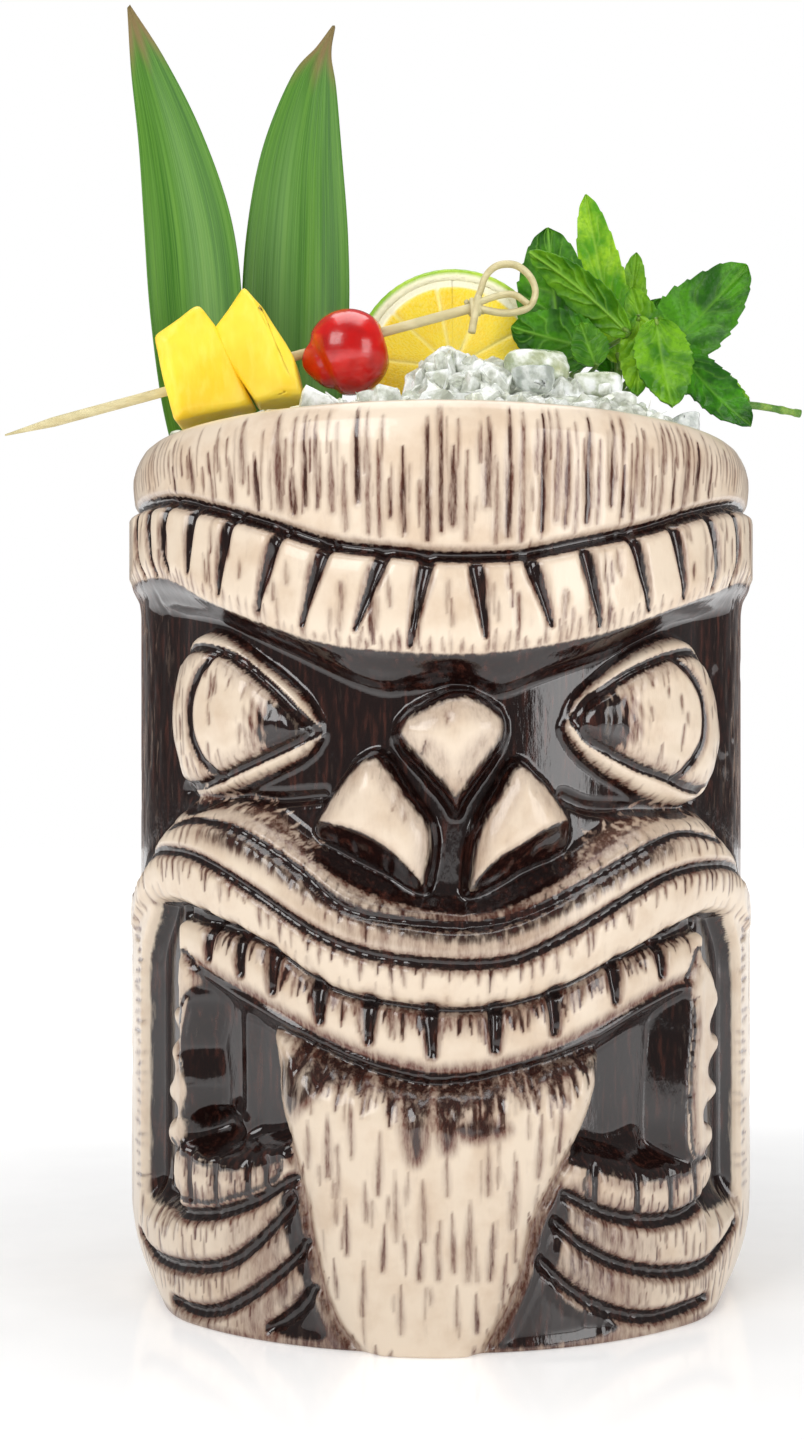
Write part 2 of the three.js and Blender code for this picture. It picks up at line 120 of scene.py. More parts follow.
class Shader:
    """A material's node tree, put together a node at a time."""

    def __init__(self, name, **sockets):
        self.material = bpy.data.materials.new(name)
        self.material.use_nodes = True
        self.tree = self.material.node_tree
        self.surface = self.tree.nodes["Principled BSDF"]
        for socket, value in sockets.items():
            self.set(socket.replace("_", " "), value)

    def set(self, socket, value):
        self.feed(self.surface.inputs[socket], value)

    def feed(self, socket, value):
        if isinstance(value, bpy.types.NodeSocket):
            self.tree.links.new(value, socket)
        else:
            socket.default_value = value

    def node(self, kind, output, inputs, **settings):
        """Adds a node and returns one of its outputs."""
        node = self.tree.nodes.new("ShaderNode" + kind)
        for key, value in settings.items():
            setattr(node, key, value)
        for key, value in inputs.items():
            self.feed(node.inputs[key], value)
        return node.outputs[output]

    def attribute(self, name):
        return self.node("Attribute", "Fac", {}, attribute_name=name)

    def place(self, stretch=(1, 1, 1)):
        """The object's own coordinates in millimetres, stretched along each axis."""
        here = self.node("TexCoord", "Object", {})
        scale = [1000 * factor for factor in stretch]
        return self.node("Mapping", "Vector", {"Vector": here, "Scale": scale})

    def noise(self, scale, stretch=(1, 1, 1), detail=4.0, roughness=0.55):
        inputs = {"Vector": self.place(stretch), "Scale": scale, "Detail": detail, "Roughness": roughness}
        return self.node("TexNoise", "Fac", inputs)

    def spread(self, value, low, high, to_low=0.0, to_high=1.0):
        """A value stretched from one range to another and held at its ends."""
        inputs = {"Value": value, "From Min": low, "From Max": high, "To Min": to_low, "To Max": to_high}
        return self.node("MapRange", "Result", inputs, interpolation_type="SMOOTHSTEP")

    def maths(self, operation, a, b):
        return self.node("Math", "Value", {0: a, 1: b}, operation=operation, use_clamp=True)

    def mix(self, share, first, second):
        """Two colours mixed; at share 1 only the second is left."""
        node = self.tree.nodes.new("ShaderNodeMix")
        node.data_type = "RGBA"
        for socket, value in zip(COLOUR_MIX_INPUTS, (share, first, second)):
            self.feed(node.inputs[socket], value)
        return node.outputs[COLOUR_MIX_OUTPUT]

    def blotches(self, field, low, high, first, second):
        """Two display colours mixed by a value that runs from low to high."""
        return self.mix(self.spread(field, low, high), paint(*first), paint(*second))

    def bump(self, height, distance, strength=1.0):
        inputs = {"Height": height, "Distance": distance * MM, "Strength": strength}
        self.set("Normal", self.node("Bump", "Normal", inputs))


BONE = paint(226, 208, 186)
BONE_SHADE = paint(211, 188, 163)
WASH = paint(100, 56, 41)
DARK_GLAZE = paint(25, 11, 9)
DARK_STREAK = paint(70, 38, 30)


def glaze_material():
    """Bone glaze with dark brown glaze pooled in the carving and wiped off what stands out; its dark and
    wash layers also carry some painted shade and painted shadow.
    """
    shader = Shader("mug_glaze", Coat_Weight=0.35, Coat_Roughness=0.05, IOR=1.5)
    cloud = shader.noise(0.16)
    streak = shader.noise(1.1, (1, 1, 0.16))
    grain = shader.noise(3.2, (1, 1, 0.3))
    bone = shader.mix(shader.spread(cloud, 0.4, 0.75), BONE, BONE_SHADE)
    brushed = shader.spread(streak, 0.3, 0.7, 0.72, 1.3)
    speckle = shader.spread(grain, 0.35, 0.75, 0.85, 1.15)
    wash = shader.maths("MULTIPLY", shader.attribute("wash"), brushed)
    wash = shader.maths("MULTIPLY", wash, speckle)
    film = shader.spread(shader.noise(0.5, (1, 1, 0.4)), 0.56, 0.8, 0.0, 0.14)
    colour = shader.mix(shader.maths("ADD", wash, film), bone, WASH)
    dark = shader.maths("MULTIPLY", shader.attribute("dark"), brushed)
    dark = shader.spread(dark, 0.2, 0.8)
    pooled = shader.mix(shader.spread(streak, 0.48, 0.78), DARK_GLAZE, DARK_STREAK)
    shader.set("Base Color", shader.mix(dark, colour, pooled))
    shader.set("Roughness", shader.spread(dark, 0, 1, 0.34, 0.09))
    shader.bump(shader.noise(0.9, (1, 1, 0.3)), 0.07)
    return shader.material


def floor_material():
    """A pale glossy table that glows, painted light that brightens to white away from the mug."""
    shader = Shader("floor", Roughness=0.12, IOR=1.45)
    grain = shader.noise(0.05)
    shader.set("Base Color", shader.blotches(grain, 0.3, 0.7, (244, 244, 244), (249, 249, 249)))
    distance = shader.node("VectorMath", "Value", {"Vector": shader.place()}, operation="LENGTH")
    # The table's glow is painted light: dim near the mug, full white far from it.
    shader.set("Emission Color", (1, 1, 1, 1))
    shader.set("Emission Strength", shader.spread(distance, 50, 360, 0.32, 1.0))
    return shader.material


# ---------------------------------------------------------------- meshes


def make_piece(name, vertices, faces, material, body, smooth=True, **values):
    """A mesh in millimetres, with its point values, that rides on a body."""
    mesh = bpy.data.meshes.new(name)
    corners = (np.asarray(vertices, float) * MM).tolist()
    mesh.from_pydata(corners, [], [list(map(int, face)) for face in faces])
    mesh.materials.append(material)
    if smooth:
        mesh.shade_smooth()
    for key, value in values.items():
        attribute = mesh.attributes.new(key, "FLOAT", "POINT")
        attribute.data.foreach_set("value", np.asarray(value, np.float32).ravel())
    piece = bpy.data.objects.new(name, mesh)
    bpy.context.scene.collection.objects.link(piece)
    if body:
        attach(piece, body)
    return piece


def grid_faces(rows, columns, closed=False):
    """Quads over a grid of points stored row by row; closed joins the last column to the first."""
    row, column = np.meshgrid(np.arange(rows - 1), np.arange(columns - (not closed)), indexing="ij")
    after = (column + 1) % columns
    corners = [row * columns + column, row * columns + after, (row + 1) * columns + after]
    corners.append((row + 1) * columns + column)
    return np.stack(corners, -1).reshape(-1, 4)


def ramp(start, end, value):
    """A smooth step from 0 at start to 1 at end, in either direction."""
    t = np.clip((value - start) / (end - start), 0, 1)
    return t * t * (3 - 2 * t)


def smooth(points, closed=False, steps=5):
    """A curve through points, as many short steps."""
    p = np.asarray(points, float)
    if closed:
        ring = np.vstack([p[-1], p, p[:2]])
    else:
        ring = np.vstack([2 * p[0] - p[1], p, 2 * p[-1] - p[-2]])
    t = np.linspace(0, 1, steps, endpoint=False)[:, None]
    pieces = []
    for a, b, c, d in zip(ring[:-3], ring[1:-2], ring[2:-1], ring[3:]):
        bend = (2 * a - 5 * b + 4 * c - d) * t**2 + (3 * b - a - 3 * c + d) * t**3
        pieces.append(b + 0.5 * ((c - a) * t + bend))
    if not closed:
        pieces.append(ring[-2:-1])
    return np.vstack(pieces)


def height_along(line, s):
    """The height of a line of [s, z] points."""
    return np.interp(s, line[:, 0], line[:, 1])


def distance_to(path, s, z):
    """Distance to a path, and how far along it the nearest point lies from 0 to 1."""
    nearest = np.full(s.shape, 1e9)
    along = np.zeros(s.shape)
    lengths = np.hypot(*np.diff(path, axis=0).T)
    passed = 0
    for start, end, length in zip(path[:-1], path[1:], lengths):
        step = (end - start) / max(length, 1e-9)
        t = np.clip((s - start[0]) * step[0] + (z - start[1]) * step[1], 0, length)
        distance = np.hypot(s - start[0] - t * step[0], z - start[1] - t * step[1])
        along = np.where(distance < nearest, (passed + t) / lengths.sum(), along)
        nearest = np.minimum(distance, nearest)
        passed += length
    return nearest, along


def inside(outline, s, z):
    """Distance to a closed outline, positive inside it."""
    ring = np.vstack([outline, outline[:1]])
    distance, _ = distance_to(ring, s, z)
    odd = np.zeros(s.shape, bool)
    for a, b in zip(ring[:-1], ring[1:]):
        if a[1] != b[1]:
            crossing = a[0] + (z - a[1]) * (b[0] - a[0]) / (b[1] - a[1])
            odd ^= ((a[1] > z) != (b[1] > z)) & (s < crossing)
    return np.where(odd, distance, -distance)


def swell(depth, reach):
    """A rounded rise from 0 at an outline to 1 at reach inside it."""
    return np.sqrt(1 - (1 - np.clip(depth / reach, 0, 1)) ** 2)


def blurred(field, cells):
    """A grid averaged over a square of cells either side of each point, twice."""
    span = 2 * cells + 1
    for _ in range(2):
        for axis in (0, 1):
            count = field.shape[axis]
            before = np.take(field, [0] * (cells + 1), axis)
            after = np.take(field, [-1] * cells, axis)
            total = np.cumsum(np.concatenate([before, field, after], axis), axis)
            upper = np.take(total, range(span, span + count), axis)
            field = (upper - np.take(total, range(count), axis)) / span
    return field


def raise_to(layer, at, value):
    """Lifts a layer's chosen points to at least a value."""
    layer[at] = np.maximum(layer[at], value)


class Carving:
    """The mug's unrolled wall: its height over the plain wall, its dark glaze and its brown wash."""

    def __init__(self, around, levels, rng):
        self.around, self.levels, self.rng = around, levels, rng
        s, z = np.meshgrid(around, levels)
        self.s, self.z = s.ravel(), z.ravel()
        self.height = np.zeros(self.s.shape)
        self.dark = np.zeros(self.s.shape)
        self.wash = np.zeros(self.s.shape)

    def near(self, path, reach):
        """The points in the box round a path."""
        (left, bottom), (right, top) = path.min(0) - reach, path.max(0) + reach
        columns = np.nonzero((self.around > left) & (self.around < right))[0]
        rows = np.nonzero((self.levels > bottom) & (self.levels < top))[0]
        return (rows[:, None] * len(self.around) + columns).ravel()

    def within(self, outline, reach):
        """The points round a closed outline, and how deep inside it each lies."""
        at = self.near(outline, reach)
        return at, inside(outline, self.s[at], self.z[at])

    def stain(self, wash, dark):
        """Lifts the wash and the dark glaze of the whole wall to at least these values."""
        self.wash = np.maximum(self.wash, wash)
        self.dark = np.maximum(self.dark, dark)

    def groove(self, path, half_width, depth, wash=0.5, fade=0.0, end_width=None):
        """A carved line, filled with glaze; fade narrows both ends and end_width widens the last one."""
        at = self.near(path, half_width * 4)
        distance, along = distance_to(path, self.s[at], self.z[at])
        width = half_width * (1 - fade * np.abs(2 * along - 1) ** 2)
        if end_width:
            width = half_width + (end_width - half_width) * along
        self.height[at] -= depth * np.clip(1 - (distance / (1.3 * width)) ** 2, 0, 1)
        raise_to(self.dark, at, ramp(1.25, 0.75, distance / width))
        raise_to(self.wash, at, wash * ramp(2.4, 1.0, distance / width))

    def stroke(self, start, end, half_width, strength=0.8):
        """A short knife cut, broad at its start and fine at its end; below 0 it is a wiped streak."""
        path = np.array([start, end], float)
        at = self.near(path, half_width * 3)
        distance, along = distance_to(path, self.s[at], self.z[at])
        width = half_width * (0.3 + 0.7 * np.sin(np.pi * (0.12 + 0.88 * along) ** 0.7))
        cut = ramp(1.4, 0.5, distance / width)
        if strength < 0:
            self.dark[at] *= 1 + strength * cut
            self.wash[at] *= 1 + strength * cut
            return
        self.height[at] -= 0.35 * cut * strength
        raise_to(self.wash, at, strength * cut)
        raise_to(self.wash, at, 0.35 * strength * ramp(3, 1, distance / width))
        raise_to(self.dark, at, 0.62 * ramp(0.62, 1.05, strength) * ramp(0.45, 1, cut))

    def fringe(self, path, spacing, lengths, half_width, strength, side=1.0, closed=False, upright=0.7):
        """Strokes that start on a path and run off to one side of it; side 1 is inside a clockwise ring."""
        ring = np.vstack([path, path[:1]]) if closed else path
        passed = np.concatenate([[0], np.cumsum(np.hypot(*np.diff(ring, axis=0).T))])
        at = spacing * 0.5
        while at < passed[-1]:
            start, ahead = (
                np.array([np.interp(place, passed, ring[:, axis]) for axis in (0, 1)])
                for place in (at, at + 0.5)
            )
            step = ahead - start
            if np.hypot(*step) > 0.05:
                normal = side * np.array([step[1], -step[0]]) / np.hypot(*step)
                heading = (1 - upright) * normal + upright * np.array([0, np.sign(normal[1])])
                heading = heading + 0.1 * self.rng.normal() * np.array([-heading[1], heading[0]])
                reach = self.rng.uniform(*lengths)
                width = half_width * self.rng.uniform(0.7, 1.3)
                end = start + reach * heading / max(np.hypot(*heading), 0.2)
                self.stroke(start, end, width, strength * self.rng.uniform(0.75, 1.1))
            at += spacing * self.rng.uniform(0.6, 1.4)

    def scatter(self, outline, count, lengths, half_width, strength):
        """Upright strokes strewn inside a closed outline."""
        starts = self.rng.uniform(outline.min(0), outline.max(0), (count, 2))
        depth = inside(outline, starts[:, 0], starts[:, 1])
        for start in starts[depth > 0.6]:
            reach = self.rng.uniform(*lengths) * self.rng.choice([-1, 1])
            end = start + (self.rng.normal(0, 0.05) * reach, reach)
            width = half_width * self.rng.uniform(0.7, 1.3)
            self.stroke(start, end, width, strength * self.rng.uniform(0.6, 1.1))

    def mound(self, outline, floor, top, reach, wash=0.0, edge=0.9, soft=1.0):
        """A rounded form that rises inside a closed outline; its foot is dark over a soft width."""
        at, depth = self.within(outline, 2)
        at, depth = at[depth > 0], depth[depth > 0]
        raise_to(self.height, at, floor + (top - floor) * swell(depth, reach))
        self.dark[at] = edge * ramp(1.3 * soft, 0.3 * soft, depth)
        self.wash[at] = np.maximum(wash, edge * ramp(3.0 * soft, 0.6 * soft, depth))

    def pool(self, outline, soft, dark=1.0, wash=1.0, sink=0.0):
        """Glaze pooled inside a closed outline, with a soft edge."""
        at, depth = self.within(outline, soft + 1)
        self.height[at] -= sink * ramp(-0.2, 1.6, depth)
        raise_to(self.dark, at, dark * ramp(-0.4 * soft, 0.5 * soft, depth))
        raise_to(self.wash, at, wash * ramp(-1.0 * soft, 0.2 * soft, depth))


# ---------------------------------------------------------------- the carved face

MUG_RADIUS = 47.5
WAY_ROUND = 2 * math.pi * MUG_RADIUS
HIGHEST_RELIEF, DEEPEST_CUT = 2.2, -7.5
# The wall curves in towards the foot below FOOT_CURVE, by up to FOOT_TUCK.
FOOT_CURVE, FOOT_TUCK = 14, 4
# The mesh is fine over the face, as far as FRONT_REACH to either side, and coarse behind.
FRONT_REACH = 70
FRONT_COLUMNS, BACK_COLUMNS = 460, 220
ROW_STEP = 0.3
# Rings of the mug's turned form, as [radius, z].
UNDERSIDE = np.array([(22, 0.5), (38, 0.3), (42.4, 0.0)])
SHOULDER = np.array([(47.5, 119.5), (47.45, 120.5), (47.3, 121.8), (46.9, 123.2), (46.3, 124.5)])
RIM_AND_CUP = np.array([
    (45.9, 125.1), (45.3, 125.6), (44.8, 125.8), (44.1, 125.6), (43.6, 125), (43.2, 123.6), (42.7, 118),
    (42.3, 112.4), (39.7, 106.6), (38.7, 103.5), (38.5, 60), (38.3, 18), (36.9, 11.8), (33.5, 8.6),
    (28, 7.6),
])

# Lines of the face from the viewer's left to right, and outlines clockwise, as [s, z].
BROW_TOP = smooth([
    (-150, 117), (-120, 117), (-90, 117), (-68, 116.8), (-58, 116.4), (-45, 115.3), (-35, 112.9),
    (-25, 110), (-15, 106.6), (-5, 105.2), (0, 104.7), (10, 105), (20, 107.2), (30, 109.7), (40, 112.8),
    (50, 115.2), (58, 116.4), (68, 116.8), (90, 117), (120, 117), (150, 117),
])
BROW_FOOT = smooth([
    (-150, 106.5), (-120, 106.5), (-90, 106.4), (-68, 106.1), (-56, 105.6), (-45, 104.5), (-35, 100.4),
    (-25, 96.7), (-15, 93.6), (-5, 92.4), (5, 92.2), (15, 93.6), (25, 96.1), (35, 99.5), (45, 102.5),
    (55, 105.2), (68, 106.1), (90, 106.4), (120, 106.5), (150, 106.5),
])
LEDGE = smooth([
    (-60, 103), (-46, 101), (-35, 98.8), (-22, 93.9), (-10, 89), (-4, 89), (2, 89.6), (8, 88.2),
    (15, 90.5), (25, 93.8), (40, 99.3), (60, 103),
])
LIP_TOP = smooth([
    (-62, 58), (-53.3, 63.6), (-47.3, 67.8), (-42, 70.9), (-36, 71.5), (-26.7, 69.2), (-18.2, 64.3),
    (-10, 60), (0, 57.4), (7.5, 57.6), (14.8, 60.6), (26.4, 67), (34, 69.5), (42, 70), (47.6, 67.5),
    (53.2, 63.9), (62, 58),
])
LIP_GROOVE_1 = smooth([
    (-44.2, 69.2), (-37.5, 70.2), (-29, 68.7), (-20, 63.9), (-12.7, 58.6), (-5, 56.9), (4, 56.2), (12, 58),
    (22.2, 63), (30.1, 66.7), (37, 68.4), (46.2, 67.3),
])
LIP_GROOVE_2 = smooth([
    (-57, 60), (-48.8, 65.2), (-42.5, 66), (-35.2, 64.8), (-26.2, 60.8), (-15, 54.5), (-5, 51.9),
    (7.3, 51.5), (15, 54.2), (26.4, 60.1), (34, 63), (41.9, 64), (50, 63.5), (57.4, 60.8),
])
LIP_FOOT = smooth([
    (-60, 54), (-50, 58.4), (-43.1, 58.8), (-35, 57), (-25, 53.6), (-15, 48), (-5, 45.9), (5, 45.4),
    (15, 47.4), (25, 51.4), (35, 55.2), (43, 57.2), (50, 57), (60, 54),
])
TEETH_FOOT = smooth([
    (-42, 51.6), (-35, 48.6), (-25, 45.4), (-15, 40.7), (-5, 37.7), (0, 37), (10, 38.2), (20, 41.5),
    (30, 45.8), (42, 49),
])
MOUTH = smooth([
    (-39.5, 50.2), (-30, 47.3), (-20, 43), (-10, 39), (0, 37), (10, 38.2), (20, 41.5), (30, 45.6),
    (39, 47.6), (39.6, 42), (38.6, 34), (38.4, 26), (39.8, 22), (30, 21.6), (21.5, 23), (0, 30),
    (-22.6, 24.6), (-28.8, 23), (-36.7, 23.3), (-42.6, 25.2), (-41, 33), (-41.9, 39), (-40, 45),
], closed=True)
TONGUE = smooth([
    (-24.6, 42.6), (-12, 38), (0, 35.6), (14, 38.2), (23.4, 39.6), (21, 30.7), (16, 22.4), (13, 16.7),
    (11.3, 10), (8.4, 3.6), (3.6, -2.4), (-7.4, -2.4), (-13.2, 1.6), (-15.8, 6.2), (-17.2, 10.7),
    (-18.9, 18.4), (-21, 26), (-23, 31.7), (-24, 36.7),
], closed=True)


class Eye:
    """One eye: the outlines of its lids and ball, and the lines cut into it, all clockwise."""

    def __init__(
        self, left, top, right, foot, ball_left, lid_top, ball_right, lid_foot, iris, corner, socket_foot
    ):
        self.top, self.foot = smooth(top), smooth(foot)
        self.outline = smooth(left + top + right + foot[::-1], closed=True)
        self.lid_top, self.lid_foot = smooth(lid_top), smooth(lid_foot)
        self.ball = smooth(ball_left + lid_top + ball_right + lid_foot[::-1], closed=True)
        self.iris, self.socket_foot = smooth(iris), smooth(socket_foot)
        self.corner = corner


LEFT_EYE = Eye(
    left=[(-46.8, 82), (-47, 86.4)],
    top=[
        (-45, 92), (-42.8, 95), (-40, 96.5), (-36.6, 96.4), (-32.6, 94.9), (-28.4, 92.4), (-24, 89.8),
        (-20.4, 86.9), (-18.6, 84.6), (-17.4, 82.4),
    ],
    right=[],
    foot=[
        (-44, 76.4), (-41.5, 73.9), (-37.5, 73.6), (-33, 74.2), (-28.6, 75.4), (-24.1, 76.9),
        (-20.2, 78.5), (-18, 80.6),
    ],
    ball_left=[(-44.8, 79.4), (-46, 84.6), (-45, 90.4)],
    lid_top=[
        (-43, 93.2), (-40.4, 94.3), (-36.4, 94), (-32.1, 92.7), (-27.7, 90.2), (-23.4, 87.1),
        (-19.8, 83.8), (-18.2, 82.2),
    ],
    ball_right=[],
    lid_foot=[
        (-42.6, 75.2), (-38.6, 75.1), (-34.3, 76), (-29.9, 77.3), (-25.6, 78.7), (-21.2, 80.3),
        (-18.4, 81.8),
    ],
    iris=[(-34.6, 93.2), (-37.4, 89.6), (-38.4, 84.6), (-37.2, 79.8), (-33.8, 76.2)],
    corner=(-18.8, 82.2),
    socket_foot=[(-17.7, 73.4), (-25, 73), (-33, 73), (-40.3, 71.8), (-47, 74.6)],
)
RIGHT_EYE = Eye(
    left=[],
    top=[
        (18.6, 84), (19.8, 86.3), (21.9, 88.3), (24.1, 89.9), (26.3, 91.4), (30.5, 93.6), (34.6, 95.1),
        (38.6, 96), (42, 95.4), (44.6, 94), (46.6, 92),
    ],
    right=[(49, 87.6), (50.3, 82.2), (49, 78)],
    foot=[
        (18.2, 82), (20.6, 79), (23.2, 77.2), (25.8, 75.9), (28.4, 74.8), (30.9, 73.6), (35, 72.5),
        (39.5, 72.2), (44, 72.9), (47, 75.2),
    ],
    ball_left=[],
    lid_top=[
        (19.4, 83.7), (21.2, 86.1), (23.4, 87.5), (27.7, 90), (32, 91.8), (36, 93), (40, 93.7), (43, 93.2),
        (45.4, 91.6),
    ],
    ball_right=[(48.2, 86.4), (48.6, 81), (46.2, 76.6)],
    lid_foot=[
        (19.4, 83.1), (21.2, 80.9), (25.6, 78.7), (29.9, 77.1), (34.3, 76), (38.6, 74.9), (42.6, 74.5),
    ],
    iris=[(36.3, 92.2), (40.2, 88.8), (41.4, 84), (40.2, 79.8), (36, 76)],
    corner=(19.8, 83.4),
    socket_foot=[(18.5, 73.2), (23, 71.8), (30.1, 71.6), (38, 71.2), (46, 73)],
)

NOSE = smooth([
    (2.5, 87.6), (6, 86.6), (9, 84.2), (9.2, 81), (6.9, 77.4), (3.6, 73), (2.2, 70.6), (0.7, 72.6),
    (-1.4, 75), (-4.3, 78), (-6.6, 81), (-5.8, 83.8), (-2.4, 86),
], closed=True)
LEFT_WING = smooth([
    (-18.8, 68.4), (-17.4, 71.4), (-14.6, 75.3), (-11.4, 78.6), (-8, 79), (-4, 74), (-0.6, 69), (-1, 63.4),
    (-2.6, 60.4), (-8, 63.2), (-14, 66),
], closed=True)
RIGHT_WING = smooth([
    (3.4, 60), (3.2, 63.4), (4.4, 69), (7.4, 74.4), (10.7, 78.4), (14.4, 76), (17.4, 72.6), (19.4, 69),
    (18, 66), (12, 63.6), (6.6, 60.8),
], closed=True)
LEFT_NOSTRIL = smooth([
    (-18.6, 69.8), (-15, 69.9), (-9.6, 68.2), (-5.2, 65), (-2.2, 61), (-6, 61.6), (-12, 64.8),
    (-18.4, 67.8),
], closed=True)
RIGHT_NOSTRIL = smooth([
    (19, 70), (14.8, 69.6), (10.4, 67), (6.6, 64.6), (4.2, 61), (8, 61.6), (14, 64), (19, 66.6),
], closed=True)

BROW_NOTCHES = [
    [(-56.1, 114.2), (-55.4, 109.6), (-53.6, 105.8)], [(-50.6, 114.5), (-50, 110), (-48.8, 105.5)],
    [(-45.1, 114.2), (-45.7, 108.8), (-44.4, 105.5)], [(-38.2, 112.3), (-39, 104.7)],
    [(-30.7, 111.1), (-32.7, 101.2)], [(-22.5, 108.6), (-25.8, 98.4)], [(-15.5, 106.3), (-18.9, 96.1)],
    [(-7.8, 104.3), (-11.2, 95.3)], [(-1.9, 103.8), (-4.1, 93)], [(4.6, 102.9), (5.9, 94.2)],
    [(12, 103.8), (14.7, 95.9)], [(19.7, 105.2), (22, 96.1)], [(27.5, 107.7), (30.1, 98.7)],
    [(35, 109.4), (37.1, 100.9)], [(43.4, 112), (44.8, 107), (44.3, 102.9)],
    [(51.5, 113.9), (52.2, 109.7), (50.8, 104.3)],
]
# Knife cuts down the forehead: [s, top, bottom, half width].
FOREHEAD_CUTS = [
    (-44, 120, 116.5, 0.3), (-39.4, 122, 116, 0.45), (-34.8, 118, 114, 0.4), (-33.5, 124, 118, 0.3),
    (-31, 119.5, 113.5, 0.45), (-28.8, 125, 116, 0.45), (-26.4, 119.6, 112, 0.4), (-22.8, 125, 112, 0.6),
    (-20.5, 117, 111.2, 0.6), (-18.7, 124, 112, 0.4), (-17, 124, 111.5, 0.3), (-14.8, 120, 111, 0.4),
    (-13, 118, 108.5, 0.35), (-11.2, 124.5, 112, 0.45), (-9.8, 124, 108, 0.4), (-8.2, 120, 107.5, 0.35),
    (-6.8, 115, 110, 0.35), (-5, 119, 108, 0.4), (-1.8, 123, 107, 0.45), (0, 125, 108, 0.35),
    (1.6, 119, 109, 0.6), (3.4, 114.5, 107, 0.35), (5.2, 122.5, 117, 0.3), (6.3, 123, 111.5, 0.55),
    (7.4, 117, 106.5, 0.4), (9.1, 124.5, 107.5, 0.45), (10.9, 124, 107, 0.5), (13, 123, 116, 0.35),
    (13.8, 124, 108.5, 0.45), (15.9, 125, 110, 0.5), (17.2, 122, 109.5, 0.45), (18.6, 118, 108.5, 0.35),
    (20.4, 124, 110, 0.5), (22, 121, 110, 0.35), (24.2, 124, 112.5, 0.5), (26, 118, 111, 0.35),
    (28, 122, 110, 0.35), (29.6, 123, 113, 0.5), (31.5, 117, 112, 0.3), (33, 124, 112, 0.4),
    (35.5, 121, 113, 0.3), (38.4, 124, 113.5, 0.7), (41, 123, 115, 0.5), (44.5, 122, 116, 0.35),
]
TONGUE_CUTS = [
    (-2.1, 16, 22.7, 0.4), (-2.7, 11, 15, 0.35), (3.4, 11, 20, 0.45), (1.6, 12, 18.5, 0.3),
    (9.2, 17.5, 25, 0.45), (-0.3, 11, 16, 0.3), (6.2, 11, 17, 0.35), (-8, 22, 29, 0.35),
    (-12, 14, 20, 0.3), (-10, 6, 12, 0.3), (-5, 4, 9, 0.3), (4.6, 4, 8, 0.3), (8, 8, 13, 0.3),
    (12.6, 24, 31, 0.4), (-14.6, 24, 31, 0.4), (-5.6, 16, 24, 0.3), (0.8, 22, 27, 0.3), (6, 22, 28, 0.35),
    (-17.6, 25, 30, 0.35), (15.6, 27, 33, 0.35), (-11.4, 27, 34, 0.3), (2, 5, 9, 0.25),
    (-7.4, 12, 17, 0.28), (-13.6, 8, 12, 0.25), (9.6, 13, 16, 0.25),
]
TONGUE_STAINS = [
    [(-22.4, 38.6), (-21, 31), (-18.4, 32.4), (-15.6, 34.6), (-10, 36.4), (-12, 38)],
    [(-5.4, 36.4), (-4.8, 31), (-3.4, 25.6), (-1.8, 29), (-1.4, 36)],
    [(-0.6, 36), (-0.2, 30), (0.8, 27), (2.4, 30.6), (4.8, 36.2)],
    [(1.2, 30), (4.6, 28.6), (8.4, 29.8), (5, 31.6)],
    [(11, 37.6), (14, 35.4), (20, 37), (22.4, 33), (22.8, 39.6)],
]

LEFT_CHIN_GROOVES = [
    smooth([(-50, 16.7), (-43, 15.4), (-35, 16.1), (-27, 18.7), (-20.5, 22.4)]),
    smooth([
        (-58.3, 9.7), (-52.4, 7.8), (-43.5, 7.7), (-35, 8.8), (-29.1, 11.2), (-23.2, 16.2), (-20.6, 19.6),
    ]),
    smooth([(-45.3, 2.4), (-37.9, 2.2), (-32, 3.7), (-26.1, 7.1), (-20.8, 11.2), (-18.6, 14)]),
    smooth([(-24.7, 1.8), (-20.6, 4.4), (-17.4, 8)]),
]
RIGHT_CHIN_GROOVES = [
    smooth([(17, 20.7), (22.6, 17.7), (30, 15.7), (38, 15.6), (45.3, 17.7)]),
    smooth([(15.6, 17), (20, 13.2), (26, 10.2), (34.3, 8.2), (44, 8), (54, 12)]),
    smooth([(13.4, 12), (18, 7.7), (24, 4.3), (32, 2.4), (44.3, 2.9)]),
]
LEFT_TONGUE_SHADE = [
    (-17.4, 8.6), (-18.9, 16), (-20.4, 22.4), (-22.6, 19), (-20.8, 12), (-19, 8), (-22, 3.5), (-24, 1.4),
    (-16, 1.2), (-16.6, 5),
]
RIGHT_TONGUE_SHADE = [
    (8.6, 2.4), (11.6, 9), (13.4, 16), (16.4, 21.6), (17.4, 17), (15.6, 10), (17.6, 6), (24, 3.6),
    (24, 1.2), (8, 0.6),
]
UPPER_TOOTH_GAPS = (-36, -30, -24, -17, -9.7, -1.5, 7.4, 15.7, 25, 33.5)
LOWER_TOOTH_GAPS = [
    (-44.6, 24.6, 18.4), (-39.8, 23.6, 17.2), (-34.1, 23, 17.6), (-28, 23.2, 19.6), (-25, 24.2, 21),
    (21.4, 23.4, 19), (28.4, 22, 16.6), (34.8, 21.6, 16), (40.4, 22, 17),
]
LEFT_LOWER_GUM = smooth([
    (-44.4, 24.8), (-40, 23.8), (-32.7, 23), (-25.4, 24.4), (-22.2, 25), (-22.6, 22.4), (-26.8, 20),
    (-33.8, 17.7), (-38.1, 17.1), (-42.8, 17.4), (-46, 20),
], closed=True)
RIGHT_LOWER_GUM = smooth([
    (20.4, 23.8), (27.8, 22.1), (33.7, 21.7), (39.6, 22), (43, 24.6), (46, 22), (44.6, 18.4), (40, 16.8),
    (35, 16), (30, 16.2), (25, 17.3), (20.2, 19.4),
], closed=True)
